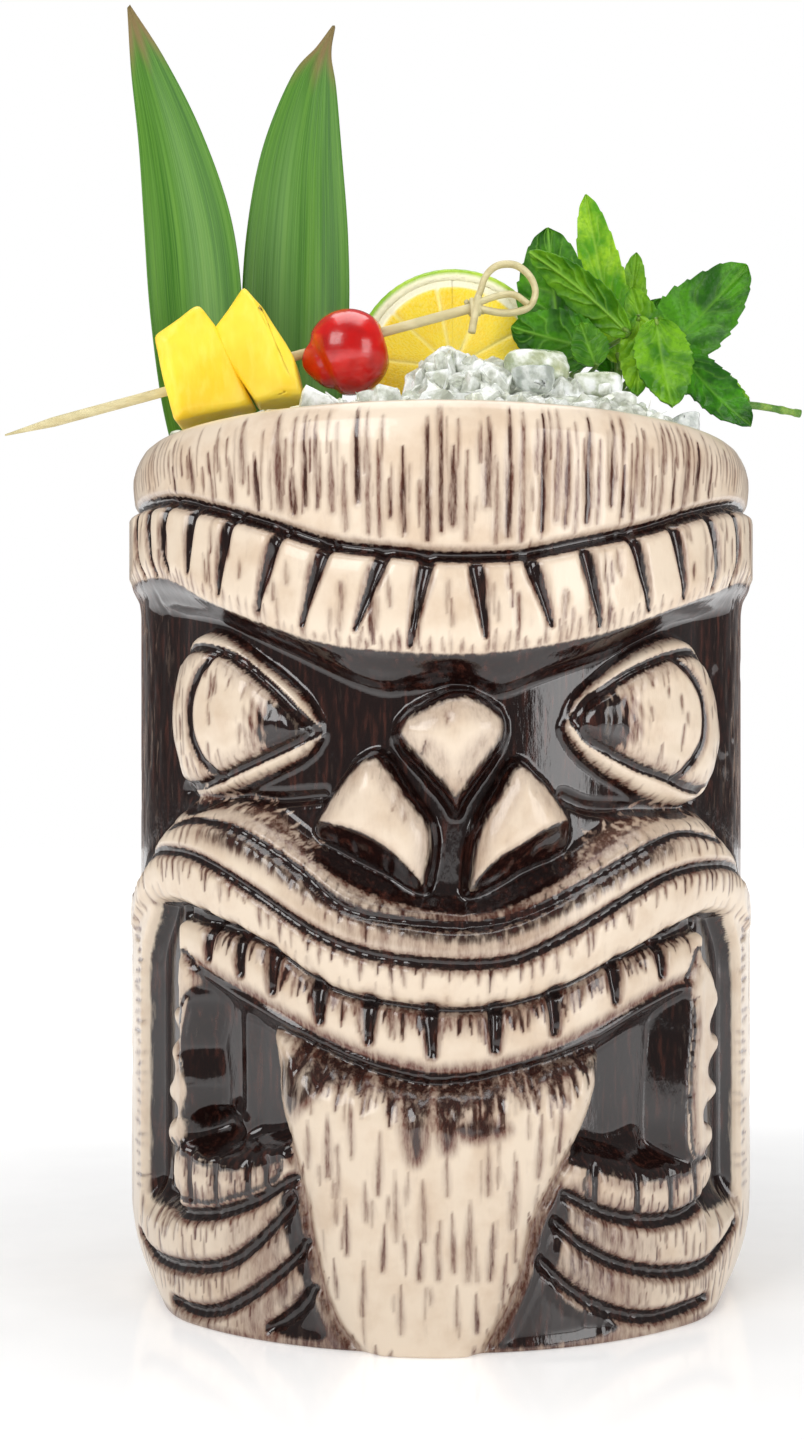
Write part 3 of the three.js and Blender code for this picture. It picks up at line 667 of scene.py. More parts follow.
LEFT_SIDE_TEETH = smooth([
    (-39.4, 50.6), (-37.6, 47.6), (-40.6, 45), (-41.8, 41), (-41.8, 37), (-39.8, 33), (-41, 29),
    (-41.6, 25), (-45.4, 23.2), (-47.1, 25.9), (-46.2, 28.3), (-44.2, 29.4), (-46.6, 30.4), (-47, 32.6),
    (-45, 35.2), (-46.2, 37), (-45.6, 39), (-44.2, 40.4), (-45.6, 42.6), (-45, 44.4), (-43, 45),
    (-44.4, 47), (-43.6, 50.6), (-42, 52.4),
], closed=True)
RIGHT_SIDE_TEETH = smooth([
    (40, 50.6), (41.6, 52.7), (45.1, 50.6), (47.8, 47), (48.6, 43.8), (46, 41.2), (48.2, 40.4),
    (48.6, 37.6), (45.5, 35.2), (47.6, 33.6), (47.8, 31), (44, 28.8), (46.4, 27.6), (46.4, 24.4),
    (42.6, 22.6), (39.4, 24), (38.6, 29), (38.8, 36), (39.8, 42), (38.6, 46.6),
], closed=True)
MOUTH_RIDGES = [
    [(-31, 29), (-31.2, 44)],
    [(-33.8, 29.6), (-30, 26.3), (-22.6, 26.6)],
    [(20.7, 26.2), (26, 25), (31.4, 26)],
]


def carve_bands(wall):
    """Forehead, brow, sockets, lips, mouth and chin: everything that is a band across the wall."""
    s, z = wall.s, wall.z
    side = np.abs(s)
    brow_top, brow_foot, ledge = (height_along(line, s) for line in (BROW_TOP, BROW_FOOT, LEDGE))
    lip_top, lip_foot = height_along(LIP_TOP, s), height_along(LIP_FOOT, s)
    front = ramp(58, 47, side)

    across = np.clip((z - brow_foot) / (brow_top - brow_foot), 0, 1)
    wall.height += 0.9 * (1 - (2 * across - 1) ** 4)
    wall.height -= 0.5 * ramp(brow_top + 7, brow_top, z) * (z > brow_top)

    above_lip = ramp(lip_top - 1, lip_top + 4, z)
    under_brow = ramp(brow_foot, ledge, z) * above_lip
    in_socket = ramp(ledge + 0.3, ledge - 1.6, z) * above_lip
    wall.height -= under_brow * (1.2 + 0.8 * front) + in_socket * (0.2 + 2.0 * front)
    shade = ramp(brow_foot + 0.2, brow_foot - 0.7, z) * ramp(lip_top + 0.2, lip_top + 1.0, z)
    wall.stain(wash=ramp(brow_foot + 1.2, brow_foot - 0.5, z) * shade, dark=shade * ramp(78, 46, side))
    cheek = ramp(lip_top + 4.5, lip_top + 1.5, z) * (z > lip_top) * ramp(15, 21, side) * ramp(52, 44, side)
    wall.dark *= 1 - 0.55 * cheek

    on_lip = (z <= lip_top + 1.2) * (z >= lip_foot) * ramp(64, 58, side)
    across = np.clip((z - lip_foot) / (lip_top - lip_foot), 0, 1)
    wall.height += on_lip * 1.5 * (1 - np.abs(2 * across - 1) ** 3)
    # The lip's brown glaze, darkened under the nose as painted shade.
    painted_shade_under_nose = on_lip * ramp(26, 8, np.abs(s - 1)) * ramp(0.42, 0.66, across)
    wall.stain(wash=0.8 * painted_shade_under_nose, dark=0.42 * painted_shade_under_nose * ramp(0.5, 0.9, across))
    thin_lip = on_lip * ramp(0.62, 0.8, across) * ramp(44, 28, side)
    wall.stain(wash=0.9 * thin_lip, dark=0.62 * thin_lip * ramp(1, 0.86, across))

    below_lip = ramp(lip_foot + 0.1, lip_foot - 0.6, z) * ramp(12, 19, z)
    rounding = 6 * ramp(46, 59, z) ** 2
    jaw = ramp(24, 21, z) * ramp(36, 23, side)
    foot_line = 0.8 * ramp(1.6, 0.4, z)
    wall.stain(wash=np.maximum(0.85 * jaw, foot_line), dark=0.4 * jaw * ramp(30, 20, side))
    channel = below_lip * ramp(42, 44.5, side) * ramp(56 - rounding, 54 - rounding, side)
    wall.height -= 3.2 * channel
    wall.stain(wash=0, dark=ramp(0.2, 0.6, channel))

    teeth_foot = height_along(TEETH_FOOT, s)
    teeth_top = lip_foot - 0.5 - 1.9 * ramp(22, 42, side)
    strip = np.clip((z - teeth_foot) / np.maximum(teeth_top - teeth_foot, 1), 0, 1)
    teeth = ramp(teeth_top + 0.2, teeth_top - 0.4, z) * ramp(teeth_foot - 1, teeth_foot, z)
    teeth *= ramp(42.6, 41, side)
    gap = ramp(lip_foot + 0.6, lip_foot - 0.1, z) * ramp(teeth_top - 0.5, teeth_top + 0.3, z)
    gap *= ramp(45.5, 43.5, side)
    wall.height -= 2.4 * gap + teeth * (1.5 - 0.9 * np.sqrt(np.clip(4 * strip * (1 - strip), 0, 1)))
    gums = teeth * ramp(0.5, 0.95, strip) * ramp(40, 14, side)
    wall.stain(wash=0.85 * gums, dark=np.maximum(gap, 0.45 * gums * ramp(0.75, 1, strip)))


def carve_mouth(wall):
    """The open mouth, its four rows of teeth and the tongue."""
    at, depth = wall.within(MOUTH, 2)
    wall.height[at] -= 4.9 * ramp(-0.1, 4.4, depth)
    raise_to(wall.dark, at, ramp(-0.3, 0.5, depth))
    raise_to(wall.wash, at, ramp(-2.0, 0.2, depth))
    hole = np.clip(1 - ((wall.s + 36.8) / 5.4) ** 2 - ((wall.z - 27) / 3.2) ** 2, 0, 1)
    wall.height -= 1.8 * np.sqrt(hole)
    for ridge in MOUTH_RIDGES:
        path = smooth(ridge)
        at = wall.near(path, 3)
        distance, _ = distance_to(path, wall.s[at], wall.z[at])
        wall.height[at] += 1.1 * ramp(2.2, 0, distance)

    for outline in (LEFT_LOWER_GUM, RIGHT_LOWER_GUM):
        wall.mound(outline, -2.2, -0.1, 1.8, wash=0.1, edge=0.8)
        wall.fringe(outline, 1.2, (1.2, 3.4), 0.34, 0.95, closed=True)
    for outline in (LEFT_SIDE_TEETH, RIGHT_SIDE_TEETH):
        wall.mound(outline, -3.4, -0.2, 2.2, wash=0.1, edge=0.85)
        wall.fringe(outline, 1.4, (0.8, 2.2), 0.32, 0.9, closed=True, upright=0.2)
    for s in UPPER_TOOTH_GAPS:
        foot, top = float(height_along(TEETH_FOOT, s)), float(height_along(LIP_FOOT, s))
        end = (s + wall.rng.uniform(-0.4, 0.4), foot + 0.28 * (top - foot))
        wall.groove(np.array([end, (s, top - 0.4)]), 0.6, 1.1, wash=0.9, end_width=1.15)
    tooth_tops = LIP_FOOT - (0, 1.2)
    wall.fringe(tooth_tops[np.abs(tooth_tops[:, 0]) < 40], 0.95, (1.4, 3.6), 0.4, 1.0)
    for s, top, bottom in LOWER_TOOTH_GAPS:
        wall.groove(np.array([(s + 0.2, bottom), (s, top + 0.4)]), 0.4, 0.8, wash=0.8, end_width=0.6)

    at, depth = wall.within(TONGUE, 2)
    at, depth = at[depth > 0], depth[depth > 0]
    rise = -2.6 + 4.4 * swell(depth, 6) - 1.6 * ramp(30, 42, wall.z[at])
    wall.height[at] = np.maximum(rise, -3)
    # The dark along the tongue's upper edge, under the teeth, is a painted shadow of the teeth.
    wall.dark[at] = 0.9 * ramp(1.0, 0.2, depth) * ramp(24, 34, wall.z[at])
    wall.wash[at] = 0.7 * ramp(2.0, 0.3, depth)
    for stain in TONGUE_STAINS:
        wall.pool(smooth(stain, closed=True), 1.6, dark=0.6, wash=0.95)
    drip_line = TEETH_FOOT[np.abs(TEETH_FOOT[:, 0]) < 22] - (0, 1.6)
    wall.fringe(drip_line, 0.5, (1.6, 7.0), 0.5, 1.05, upright=0.95)
    wall.fringe(TONGUE, 1.6, (1.2, 3.6), 0.3, 0.75, closed=True)
    for s, bottom, top, half_width in TONGUE_CUTS:
        lean = wall.rng.uniform(-0.4, 0.4)
        wall.stroke((s, bottom - 0.6), (s + lean, top + 0.6), 1.05 * half_width, wall.rng.uniform(0.65, 0.9))
    wall.scatter(TONGUE, 90, (2.0, 5.5), 0.24, 0.6)


def carve_eyes(wall):
    """Both eyes: lids with a bone rim, a ball stained dark at its inner corner, and the cuts."""
    for eye in (LEFT_EYE, RIGHT_EYE):
        wall.mound(eye.outline, -3.6, 0.5, 7, wash=0.1, edge=0.9, soft=0.25)
        wall.fringe(eye.top, 1.0, (0.3, 0.9), 0.24, 0.8)
        wall.fringe(eye.foot, 1.3, (0.4, 1.3), 0.28, 0.85, side=-1)
        wall.mound(eye.ball, -2.6, 0.9, 9, edge=0.6, soft=1.1)
        at, depth = wall.within(eye.ball, 1)
        s, z = wall.s[at], wall.z[at]
        from_corner = np.hypot(s - eye.corner[0], 1.15 * (z - eye.corner[1]))
        in_ball = ramp(-0.4, 0.4, depth)
        ragged = from_corner + 0.7 * np.sin(5 * s) + 0.5 * np.sin(2.3 * z + 3 * s)
        raise_to(wall.wash, at, in_ball * ramp(10.5, 6.5, ragged))
        raise_to(wall.dark, at, 0.9 * in_ball * ramp(8, 5.6, ragged))
        wall.scatter(eye.ball, 60, (1.5, 4), 0.24, 0.75)
        wall.fringe(eye.lid_top, 1.3, (1.2, 4.0), 0.3, 0.8)
        wall.fringe(eye.lid_foot, 1.2, (1.2, 4.2), 0.32, 0.8, side=-1)
        wall.groove(eye.lid_top, 0.62, 1.2, wash=0.35)
        wall.groove(eye.lid_foot, 0.6, 1.1, wash=0.35)
        wall.groove(eye.iris, 0.62, 0.8, wash=0.7)
        wall.groove(eye.socket_foot, 0.8, 1.0)


def carve_nose(wall):
    """The nose's tip and its two wings, each with a pool of dark glaze for a nostril."""
    for wing, nostril in ((LEFT_WING, LEFT_NOSTRIL), (RIGHT_WING, RIGHT_NOSTRIL)):
        wall.mound(wing, -3.4, 1.1, 6, wash=0.08, edge=1.0, soft=1.5)
        wall.fringe(wing, 1.3, (1.4, 4.4), 0.34, 0.9, closed=True, upright=0.85)
        wall.pool(nostril, 0.8, sink=1.2)
    wall.mound(NOSE, -2.4, 2.1, 7, wash=0.05, edge=1.0, soft=1.9)
    wall.fringe(NOSE, 1.1, (1.4, 4.4), 0.32, 0.85, closed=True, upright=0.85)
    wall.scatter(NOSE, 24, (2, 5), 0.22, 0.6)


def carve_lines(wall):
    """The long grooves of the brow, lips and chin and the notches of the brow."""
    wall.groove(BROW_TOP, 0.85, 1.5)
    for notch in BROW_NOTCHES:
        wall.groove(smooth(notch[::-1]), 0.3, 1.1, wash=0.8, end_width=1.05)
    for s in np.arange(59, WAY_ROUND - 60, 7):
        wall.groove(np.array([(s + 0.8, 106.6), (s, 114.5)]), 0.3, 1.1, wash=0.8, end_width=1.0)
    wall.groove(LIP_GROOVE_1, 0.65, 1.1, fade=0.5, wash=0.8)
    wall.groove(LIP_GROOVE_2, 0.8, 1.1, fade=0.4, wash=0.8)
    for line in LEFT_CHIN_GROOVES + RIGHT_CHIN_GROOVES:
        wall.groove(line, 0.95, 1.3, fade=0.3, wash=0.9)
    for shade in (LEFT_TONGUE_SHADE, RIGHT_TONGUE_SHADE):
        wall.pool(smooth(shade, closed=True), 1.4, sink=0.6)


def cut_strokes(wall):
    """Short knife cuts over the brow, lips, chin and hair."""
    rng = wall.rng
    for s, top, bottom, half_width in FOREHEAD_CUTS:
        lean = -0.0008 * s * (top - bottom)
        wall.stroke((s + lean, bottom), (s - lean, top), half_width * 1.15, rng.uniform(0.7, 1.0))
    for s in np.arange(-149, 149, 1.25):
        foot = float(height_along(BROW_TOP, s)) + 1.6
        low = rng.uniform(foot, 119)
        high = min(125, low + rng.uniform(3, 10))
        start, end = rng.permutation([low, high])
        end = (s + rng.uniform(-0.4, 0.4), end)
        wall.stroke((s, start), end, rng.uniform(0.16, 0.32), rng.uniform(0.4, 0.85))
    brow = np.vstack([BROW_TOP - (0, 1.6), (BROW_FOOT + (0, 1.2))[::-1]])
    wall.scatter(brow, 620, (2.0, 6.5), 0.3, 0.8)
    wall.fringe(BROW_FOOT, 1.5, (0.8, 2.8), 0.28, 0.7, side=-1)
    wall.fringe(LIP_TOP, 1.5, (0.8, 1.6), 0.32, 0.9)
    wall.fringe(LIP_GROOVE_1, 1.9, (1.6, 3.4), 0.4, 0.9, upright=0.85)
    wall.fringe(LIP_GROOVE_2, 1.6, (1.6, 4.4), 0.34, 0.88, upright=0.85)
    wall.fringe(LIP_FOOT, 2.2, (1.0, 2.6), 0.3, 0.7, side=-1, upright=0.85)
    for line in LEFT_CHIN_GROOVES + RIGHT_CHIN_GROOVES:
        wall.fringe(line, 1.3, (2.0, 4.4), 0.3, 0.85, upright=0.8)
        wall.fringe(line, 2.0, (1.0, 2.4), 0.28, 0.75, side=-1, upright=0.8)
    for s in np.arange(20, 58, 0.85):
        for side in (-1, 1):
            foot = rng.uniform(1.5, 17)
            end = (side * s + rng.uniform(-0.3, 0.3), foot + rng.uniform(2.5, 5))
            wall.stroke((side * s, foot), end, 0.3, rng.uniform(0.55, 0.9))
    for _ in range(110):
        s = rng.choice([-1, 1]) * rng.uniform(17, 46)
        z = float(height_along(LIP_TOP, s)) + rng.uniform(0.8, 4)
        wall.stroke((s, z), (s + rng.uniform(-1.5, 1.5), z + rng.uniform(-0.8, 0.8)), 0.26, -0.6)
    for side in (-1, 1):
        for z in np.arange(17, 60, 1.5):
            s = side * rng.uniform(55.5, 57)
            end = (s + side * rng.uniform(1.5, 5), z + rng.uniform(-0.6, 0.6))
            wall.stroke((s, z), end, 0.36, rng.uniform(0.6, 0.95))
    for s in np.arange(52, WAY_ROUND - 52, 1.15):
        around = s if s < WAY_ROUND / 2 else s - WAY_ROUND
        bands = [(66, 84), (84, 103)]
        if abs(around) > 63:
            bands += [(3, 18), (20, 36), (38, 52)]
        for low, high in bands:
            z = rng.uniform(low, high)
            end = min(103.5, z + rng.uniform(4, 14))
            wall.stroke((around, z), (around + rng.uniform(-0.3, 0.3), end), 0.36, rng.uniform(0.5, 1.0))


def carved_wall(around, heights):
    """The wall's radius, dark glaze and brown wash at each height and each place round it."""
    wall = Carving(around, heights, np.random.default_rng(7))
    for step in (carve_bands, carve_mouth, carve_eyes, carve_nose, carve_lines, cut_strokes):
        step(wall)
    s, z = np.meshgrid(around, heights)
    side = np.abs(s)
    height = blurred(np.clip(wall.height.reshape(s.shape), DEEPEST_CUT, HIGHEST_RELIEF), 1)
    sunk = blurred(height, 6) - height
    wash = np.maximum(wall.wash.reshape(s.shape), 0.75 * ramp(0.1, 0.7, sunk))
    wash *= 1 - 0.6 * ramp(-0.15, -0.6, sunk)
    tongue = np.zeros(wall.s.shape)
    at, depth = wall.within(TONGUE, 2)
    tongue[at] = ramp(0.3, 2.5, depth)
    tongue = tongue.reshape(s.shape)
    height = height * np.maximum(tongue, ramp(0.0, 1.2, z)) * ramp(124, 118, z)
    height = np.minimum(height, HIGHEST_RELIEF - 1.8 * ramp(44, 64, side) - 0.4 * ramp(70, 110, side))
    tuck = FOOT_TUCK * (1 - np.sin(np.pi / 2 * np.clip(z / FOOT_CURVE, 0, 1)) ** 0.8)
    tuck *= (1 - 0.8 * ramp(62, 40, side)) * (1 - tongue)
    plain = np.interp(z, SHOULDER[:, 1], SHOULDER[:, 0])
    return plain + height - tuck, wall.dark.reshape(s.shape), wash


def make_mug():
    """The carved wall between the underside and the rim and cup, as one closed mesh."""
    front = np.linspace(-FRONT_REACH, FRONT_REACH, FRONT_COLUMNS)
    back = np.linspace(FRONT_REACH, WAY_ROUND - FRONT_REACH, BACK_COLUMNS)[1:-1]
    around = np.concatenate([front, back])
    around = np.where(around > WAY_ROUND / 2, around - WAY_ROUND, around)
    heights = np.concatenate([[0.15, 0.4, 0.8], np.arange(1.2, 124.4, ROW_STEP)])
    radius, dark, wash = carved_wall(around, heights)

    def with_ends(wall_rows, below, above):
        rings = [np.tile(values[:, None], (1, len(around))) for values in (below, above)]
        return np.vstack([rings[0], wall_rows, rings[1]])

    radii = with_ends(radius, UNDERSIDE[:, 0], RIM_AND_CUP[:, 0])
    wall_levels = np.broadcast_to(heights[:, None], radius.shape)
    levels = with_ends(wall_levels, UNDERSIDE[:, 1], RIM_AND_CUP[:, 1])
    clean = (np.zeros(len(UNDERSIDE)), np.zeros(len(RIM_AND_CUP)))
    values = {"dark": with_ends(dark, *clean), "wash": with_ends(wash, *clean)}
    angle = np.broadcast_to(around / MUG_RADIUS, radii.shape)
    points = np.stack([radii * np.sin(angle), -radii * np.cos(angle), levels], -1).reshape(-1, 3)
    rows, columns = radii.shape
    faces = grid_faces(rows, columns, closed=True).tolist()
    last = (rows - 1) * columns
    faces.append(list(range(columns))[::-1])
    faces.append(list(range(last, last + columns)))
    mug = make_piece("mug", points, faces, glaze_material(), "mug", **values)
    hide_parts("mug_body")


FLOOR_REACH = 9000


def make_floor():
    """The table that the mug stands on."""
    corners = [(FLOOR_REACH * x, FLOOR_REACH * y, 0) for x, y in ((-1, -1), (1, -1), (1, 1), (-1, 1))]
    floor = make_piece("floor", corners, [(0, 1, 2, 3)], floor_material(), None)


# ---------------------------------------------------------------- leaves and stems


def unit(vector):
    vector = np.asarray(vector, float)
    return vector / np.linalg.norm(vector, axis=-1, keepdims=True)


def spline(points, count):
    """Evenly counted points along a smooth curve in space, and its directions."""
    line = smooth(points, steps=12)
    passed = np.concatenate([[0], np.cumsum(np.linalg.norm(np.diff(line, axis=0), axis=1))])
    at = np.linspace(0, passed[-1], count)
    here = np.stack([np.interp(at, passed, line[:, i]) for i in range(line.shape[1])], 1)
    return here, unit(np.gradient(here[:, :3], axis=0))


def sheet(centres, forward, facing, half_width, across, lift, thickness):
    """A thin closed leaf: a front and a back grid joined round their edge."""
    side = unit(np.cross(facing, forward))
    outward = unit(np.cross(forward, side))
    middle = centres[:, None] + side[:, None] * (half_width * across)[..., None]
    middle = middle + outward[:, None] * lift[..., None]
    skin = 0.5 * thickness * outward[:, None]
    rows, columns = across.shape
    front = (middle + skin).reshape(-1, 3)
    back = (middle - skin).reshape(-1, 3)
    faces = grid_faces(rows, columns)
    count = rows * columns
    rim = [row * columns for row in range(rows)][::-1] + list(range(1, columns))
    rim += [row * columns + columns - 1 for row in range(1, rows)]
    rim += [(rows - 1) * columns + column for column in range(columns - 2, 0, -1)]
    border = [(a, b, b + count, a + count) for a, b in zip(rim, rim[1:] + rim[:1])]
    return np.vstack([front, back]), faces[:, ::-1].tolist() + (faces + count).tolist() + border


def crown_leaf_material():
    """Fibrous green leaf with fine parallel veins, a pale streak of painted sheen and a dried tip."""
    shader = Shader("crown_leaf", Coat_Weight=0.05, Coat_Roughness=0.3, Specular_IOR_Level=0.25)
    across, along = shader.attribute("across"), shader.attribute("along")
    here = shader.node("CombineXYZ", "Vector", {"X": across, "Y": along})
    fine = shader.node("Mapping", "Vector", {"Vector": here, "Scale": (34, 2.2, 1)})
    broad = shader.node("Mapping", "Vector", {"Vector": here, "Scale": (4, 1.3, 1)})
    fibre = shader.node("TexNoise", "Fac", {"Vector": fine, "Scale": 1.0, "Detail": 5.0})
    patch = shader.node("TexNoise", "Fac", {"Vector": broad, "Scale": 1.0, "Detail": 2.0})
    green = shader.blotches(patch, 0.35, 0.7, (52, 102, 24), (86, 136, 42))
    green = shader.mix(shader.spread(fibre, 0.4, 0.7, 0, 0.45), green, paint(104, 152, 60))
    green = shader.mix(shader.spread(fibre, 0.42, 0.25, 0, 0.4), green, paint(40, 88, 24))
    # The pale streak mixed in here is painted sheen, a painted highlight along the leaf.
    painted_sheen = shader.maths("MULTIPLY", shader.attribute("painted_sheen"), shader.spread(fibre, 0.2, 0.6, 0.5, 0.8))
    green = shader.mix(painted_sheen, green, paint(122, 160, 96))
    dry = shader.maths("ADD", shader.attribute("dry"), shader.spread(patch, 0.5, 0.8, 0, 0.1))
    brown = shader.mix(fibre, paint(92, 74, 40), paint(150, 132, 84))
    shader.set("Base Color", shader.mix(dry, green, brown))
    shader.set("Roughness", shader.spread(fibre, 0.3, 0.7, 0.36, 0.5))
    shader.bump(fibre, 0.06)
    return shader.material


# Crown leaves from the foot in the ice to the tip: [x, y, z, half width].
LEFT_CROWN = [
    (-35.4, -3, 110, 3.6), (-36, -3, 124, 4.6), (-36.9, -3, 136, 6.2), (-37.6, -3, 149, 7.1),
    (-38.9, -2.8, 162, 6.7), (-41.6, -2.4, 175, 5), (-45.2, -1.8, 187, 2.8), (-48.4, -1, 196.6, 0.3),
]
RIGHT_CROWN = [
    (-23.6, 4, 110, 4.6), (-23.4, 4, 124, 5.8), (-23.1, 4, 136, 7.4), (-22.9, 4.1, 149, 8.4),
    (-22.6, 4.3, 162, 8), (-21.9, 4.6, 175, 6.4), (-20.2, 5.2, 187, 3.7), (-18.6, 5.6, 192.6, 1.3),
    (-17.0, 5.4, 196.4, 0.25),
]


CROWN_LEAF_ROWS, CROWN_LEAF_COLUMNS = 150, 41


def make_crown_leaf(name, node, body, sections, streak, material):
    """One pineapple crown leaf, as a thin closed sheet with ribs along it."""
    here, forward = spline(sections, CROWN_LEAF_ROWS)
    along = np.linspace(0, 1, CROWN_LEAF_ROWS)[:, None]
    across = np.linspace(-1, 1, CROWN_LEAF_COLUMNS)
    across = np.broadcast_to(across, (CROWN_LEAF_ROWS, CROWN_LEAF_COLUMNS))
    half_width = here[:, 3:4]
    ribs = 0.03 * np.cos(across * 46) * np.minimum(1, half_width / 3)
    ripple = 0.35 * np.sin(along * 9 + across * 2) * np.abs(across)
    lift = 0.22 * half_width * (across**2 - 0.4) + ribs + ripple
    points, faces = sheet(here[:, :3], forward, (0, -1, 0), half_width, across, lift, 0.9)
    # A pale streak at the given place across the leaf: painted sheen, a painted highlight.
    painted_sheen = np.exp(-(((across - streak) / 0.3) ** 2)) * ramp(0.97, 0.6, along) * 0.55
    dry = np.broadcast_to(ramp(0.87, 0.97, along + 0.02 * np.cos(7 * across)), across.shape)
    values = {"across": across, "along": np.broadcast_to(along, across.shape), "painted_sheen": painted_sheen, "dry": dry}
    values = {key: np.vstack([value, value]) for key, value in values.items()}
    leaf = make_piece(name, points, faces, material, body, **values)
    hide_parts(node)


def mint_material():
    """Quilted mint leaf: green between paler veins, from dark old leaves to yellow-green young ones."""
    shader = Shader("mint_leaf", Specular_IOR_Level=0.22)
    young = shader.attribute("young")
    patch = shader.noise(0.22, detail=3.0)
    cells = shader.noise(1.6, detail=3.0)
    green = shader.mix(young, paint(46, 132, 16), paint(164, 210, 40))
    deep = shader.mix(young, paint(10, 66, 5), paint(84, 158, 14))
    leaf = shader.mix(shader.spread(patch, 0.38, 0.66), green, deep)
    leaf = shader.mix(shader.spread(cells, 0.42, 0.75, 0, 0.5), leaf, deep)
    vein = shader.mix(young, paint(112, 176, 58), paint(184, 220, 88))
    shader.set("Base Color", shader.mix(shader.attribute("vein"), leaf, vein))
    shader.set("Roughness", shader.spread(cells, 0.3, 0.7, 0.28, 0.45))
    shader.bump(cells, 0.12)
    return shader.material


MINT_ROWS, MINT_COLUMNS = 97, 49
MINT_TEETH = 9
LEAF_NODES = 4
# Mint sprigs: where each stem runs, and each leaf's foot, tip, facing, half width, youth and whether
# its ribbed underside shows.
SPRIGS = {
    "left": {
        "stem": [(20, 4, 112), (20, 4, 128), (19.6, 4, 138), (18.6, 4, 146)],
        "leaves": [
            [(18.8, -7.8, 138.6), (16.2, -6.9, 160.6), (0.1, -1, 0.1), 6.1, 0.16, True],
            [(24, -9.4, 141.3), (10.6, -8.6, 145), (-0.1, -1, -0.1), 4.6, 0.12, True],
            [(28.2, -10.8, 143.4), (13.3, -9.4, 156.2), (-0.5, -0.75, -0.4), 3.2, 0.34, True],
            [(23.2, -12.2, 138.2), (20.8, -12.6, 144.6), (0, -1, 0.2), 2.9, 0.3, False],
        ],
    },
    "middle": {
        "stem": [(29, 8, 112), (29, 8, 128), (28.6, 8, 138), (28, 8, 146)],
        "leaves": [
            [(28.2, 5.4, 143), (22.9, 4.8, 169.6), (-0.1, -1, 0.05), 3.7, 0.86, False],
            [(29.6, 8.2, 145), (31.4, 9.4, 161.8), (0, -1, 0), 2.6, 0.55, False],
            [(32.4, 3.4, 142), (48.6, 5.6, 158.6), (-0.1, -1, 0.15), 6, 0.14, False],
            [(33.8, -0.4, 141), (29.4, -2, 153), (0, -1, 0.1), 3.2, 0.5, False],
            [(27.6, 9, 142), (25.4, 10.4, 157.4), (0, -1, 0), 5, 0.08, False],
            [(31, 9, 140), (35.4, 10, 154.6), (0.1, -1, 0), 4.4, 0.1, False],
        ],
    },
    "right": {
        "stem": [
            (34.2, -7.6, 141), (37, -7.6, 137), (42.6, -7.4, 133.6), (48, -6.4, 133.6), (55, -5, 132.7),
        ],
        "leaves": [
            [(32.2, -11.4, 145.4), (34.2, -15.4, 131.4), (0.1, -1, 0.2), 4.4, 0.4, False],
            [(34.4, -4.4, 143.4), (41.2, -3.2, 136), (0.1, -1, 0.1), 3.6, 0.1, False],
            [(36.6, -9.4, 140.2), (46.2, -12.6, 129.2), (0.1, -1, 0.3), 3.6, 0.08, False],
            [(39.4, -5, 138.6), (47.4, -4.4, 133.2), (0.1, -1, 0.3), 3, 0.66, False],
            [(29.8, -9.8, 146.4), (29.2, -13, 133.6), (-0.3, -1, 0.1), 2.9, 0.62, False],
        ],
    },
}


def make_mint_leaf(name, node, body, foot, tip, facing, half_width, youth, underside, material):
    """One mint leaf, a thin closed sheet with a toothed edge and sunk veins."""
    foot, tip, facing = (np.array(p, float) for p in (foot, tip, facing))
    length = np.linalg.norm(tip - foot)
    along = np.linspace(0, 1, MINT_ROWS)[:, None]
    across = np.broadcast_to(np.linspace(-1, 1, MINT_COLUMNS), (MINT_ROWS, MINT_COLUMNS))
    centres = foot + (tip - foot) * along - 0.07 * length * unit(facing) * 4 * along * (1 - along)
    forward = unit(np.gradient(centres, axis=0))
    saw = (MINT_TEETH * along) % 1
    notch = 1 + 0.085 * (saw**1.4 - 0.4) * ramp(0.04, 0.2, along) * ramp(1, 0.9, along)
    blade = 0.07 + 0.93 * np.sin(np.pi * along**0.82) ** 0.6
    width = half_width * blade * ramp(1.05, 0.94, along) * notch
    wander = 0.22 * np.sin(9 * along + 3 * across + foot[0]) + 0.12 * np.sin(17 * along - 5 * across)
    veins = 5.4 * along - 1.9 * np.abs(across) ** 0.85 * (1 - 0.3 * along) + 0.25 + wander
    gap = np.abs(veins - np.round(veins))
    rib = np.exp(-((across * width / 0.24) ** 2))
    branch = np.exp(-((gap / 0.07) ** 2)) * ramp(0.95, 0.6, np.abs(across)) * ramp(0.02, 0.12, along)
    net = np.maximum(rib, 0.6 * branch)
    quilt = 0.07 * half_width * np.sqrt(np.clip(2 * gap, 0, 1)) * ramp(0, 0.25, np.abs(across))
    relief = (-1 if underside else 1) * quilt + (0.22 * net if underside else -0.12 * net)
    fold = 0.2 * width * np.abs(across) ** 1.3
    fold = fold + 0.05 * width * np.sin(5 * along * np.pi) * across**2
    points, faces = sheet(centres, forward, facing, width, across, relief + fold, 0.3)
    values = {"vein": net * (0.8 if underside else 0.38), "young": np.full(across.shape, youth)}
    values = {key: np.vstack([value, value]) for key, value in values.items()}
    leaf = make_piece(name, points, faces, material, body, **values)
    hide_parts(node)


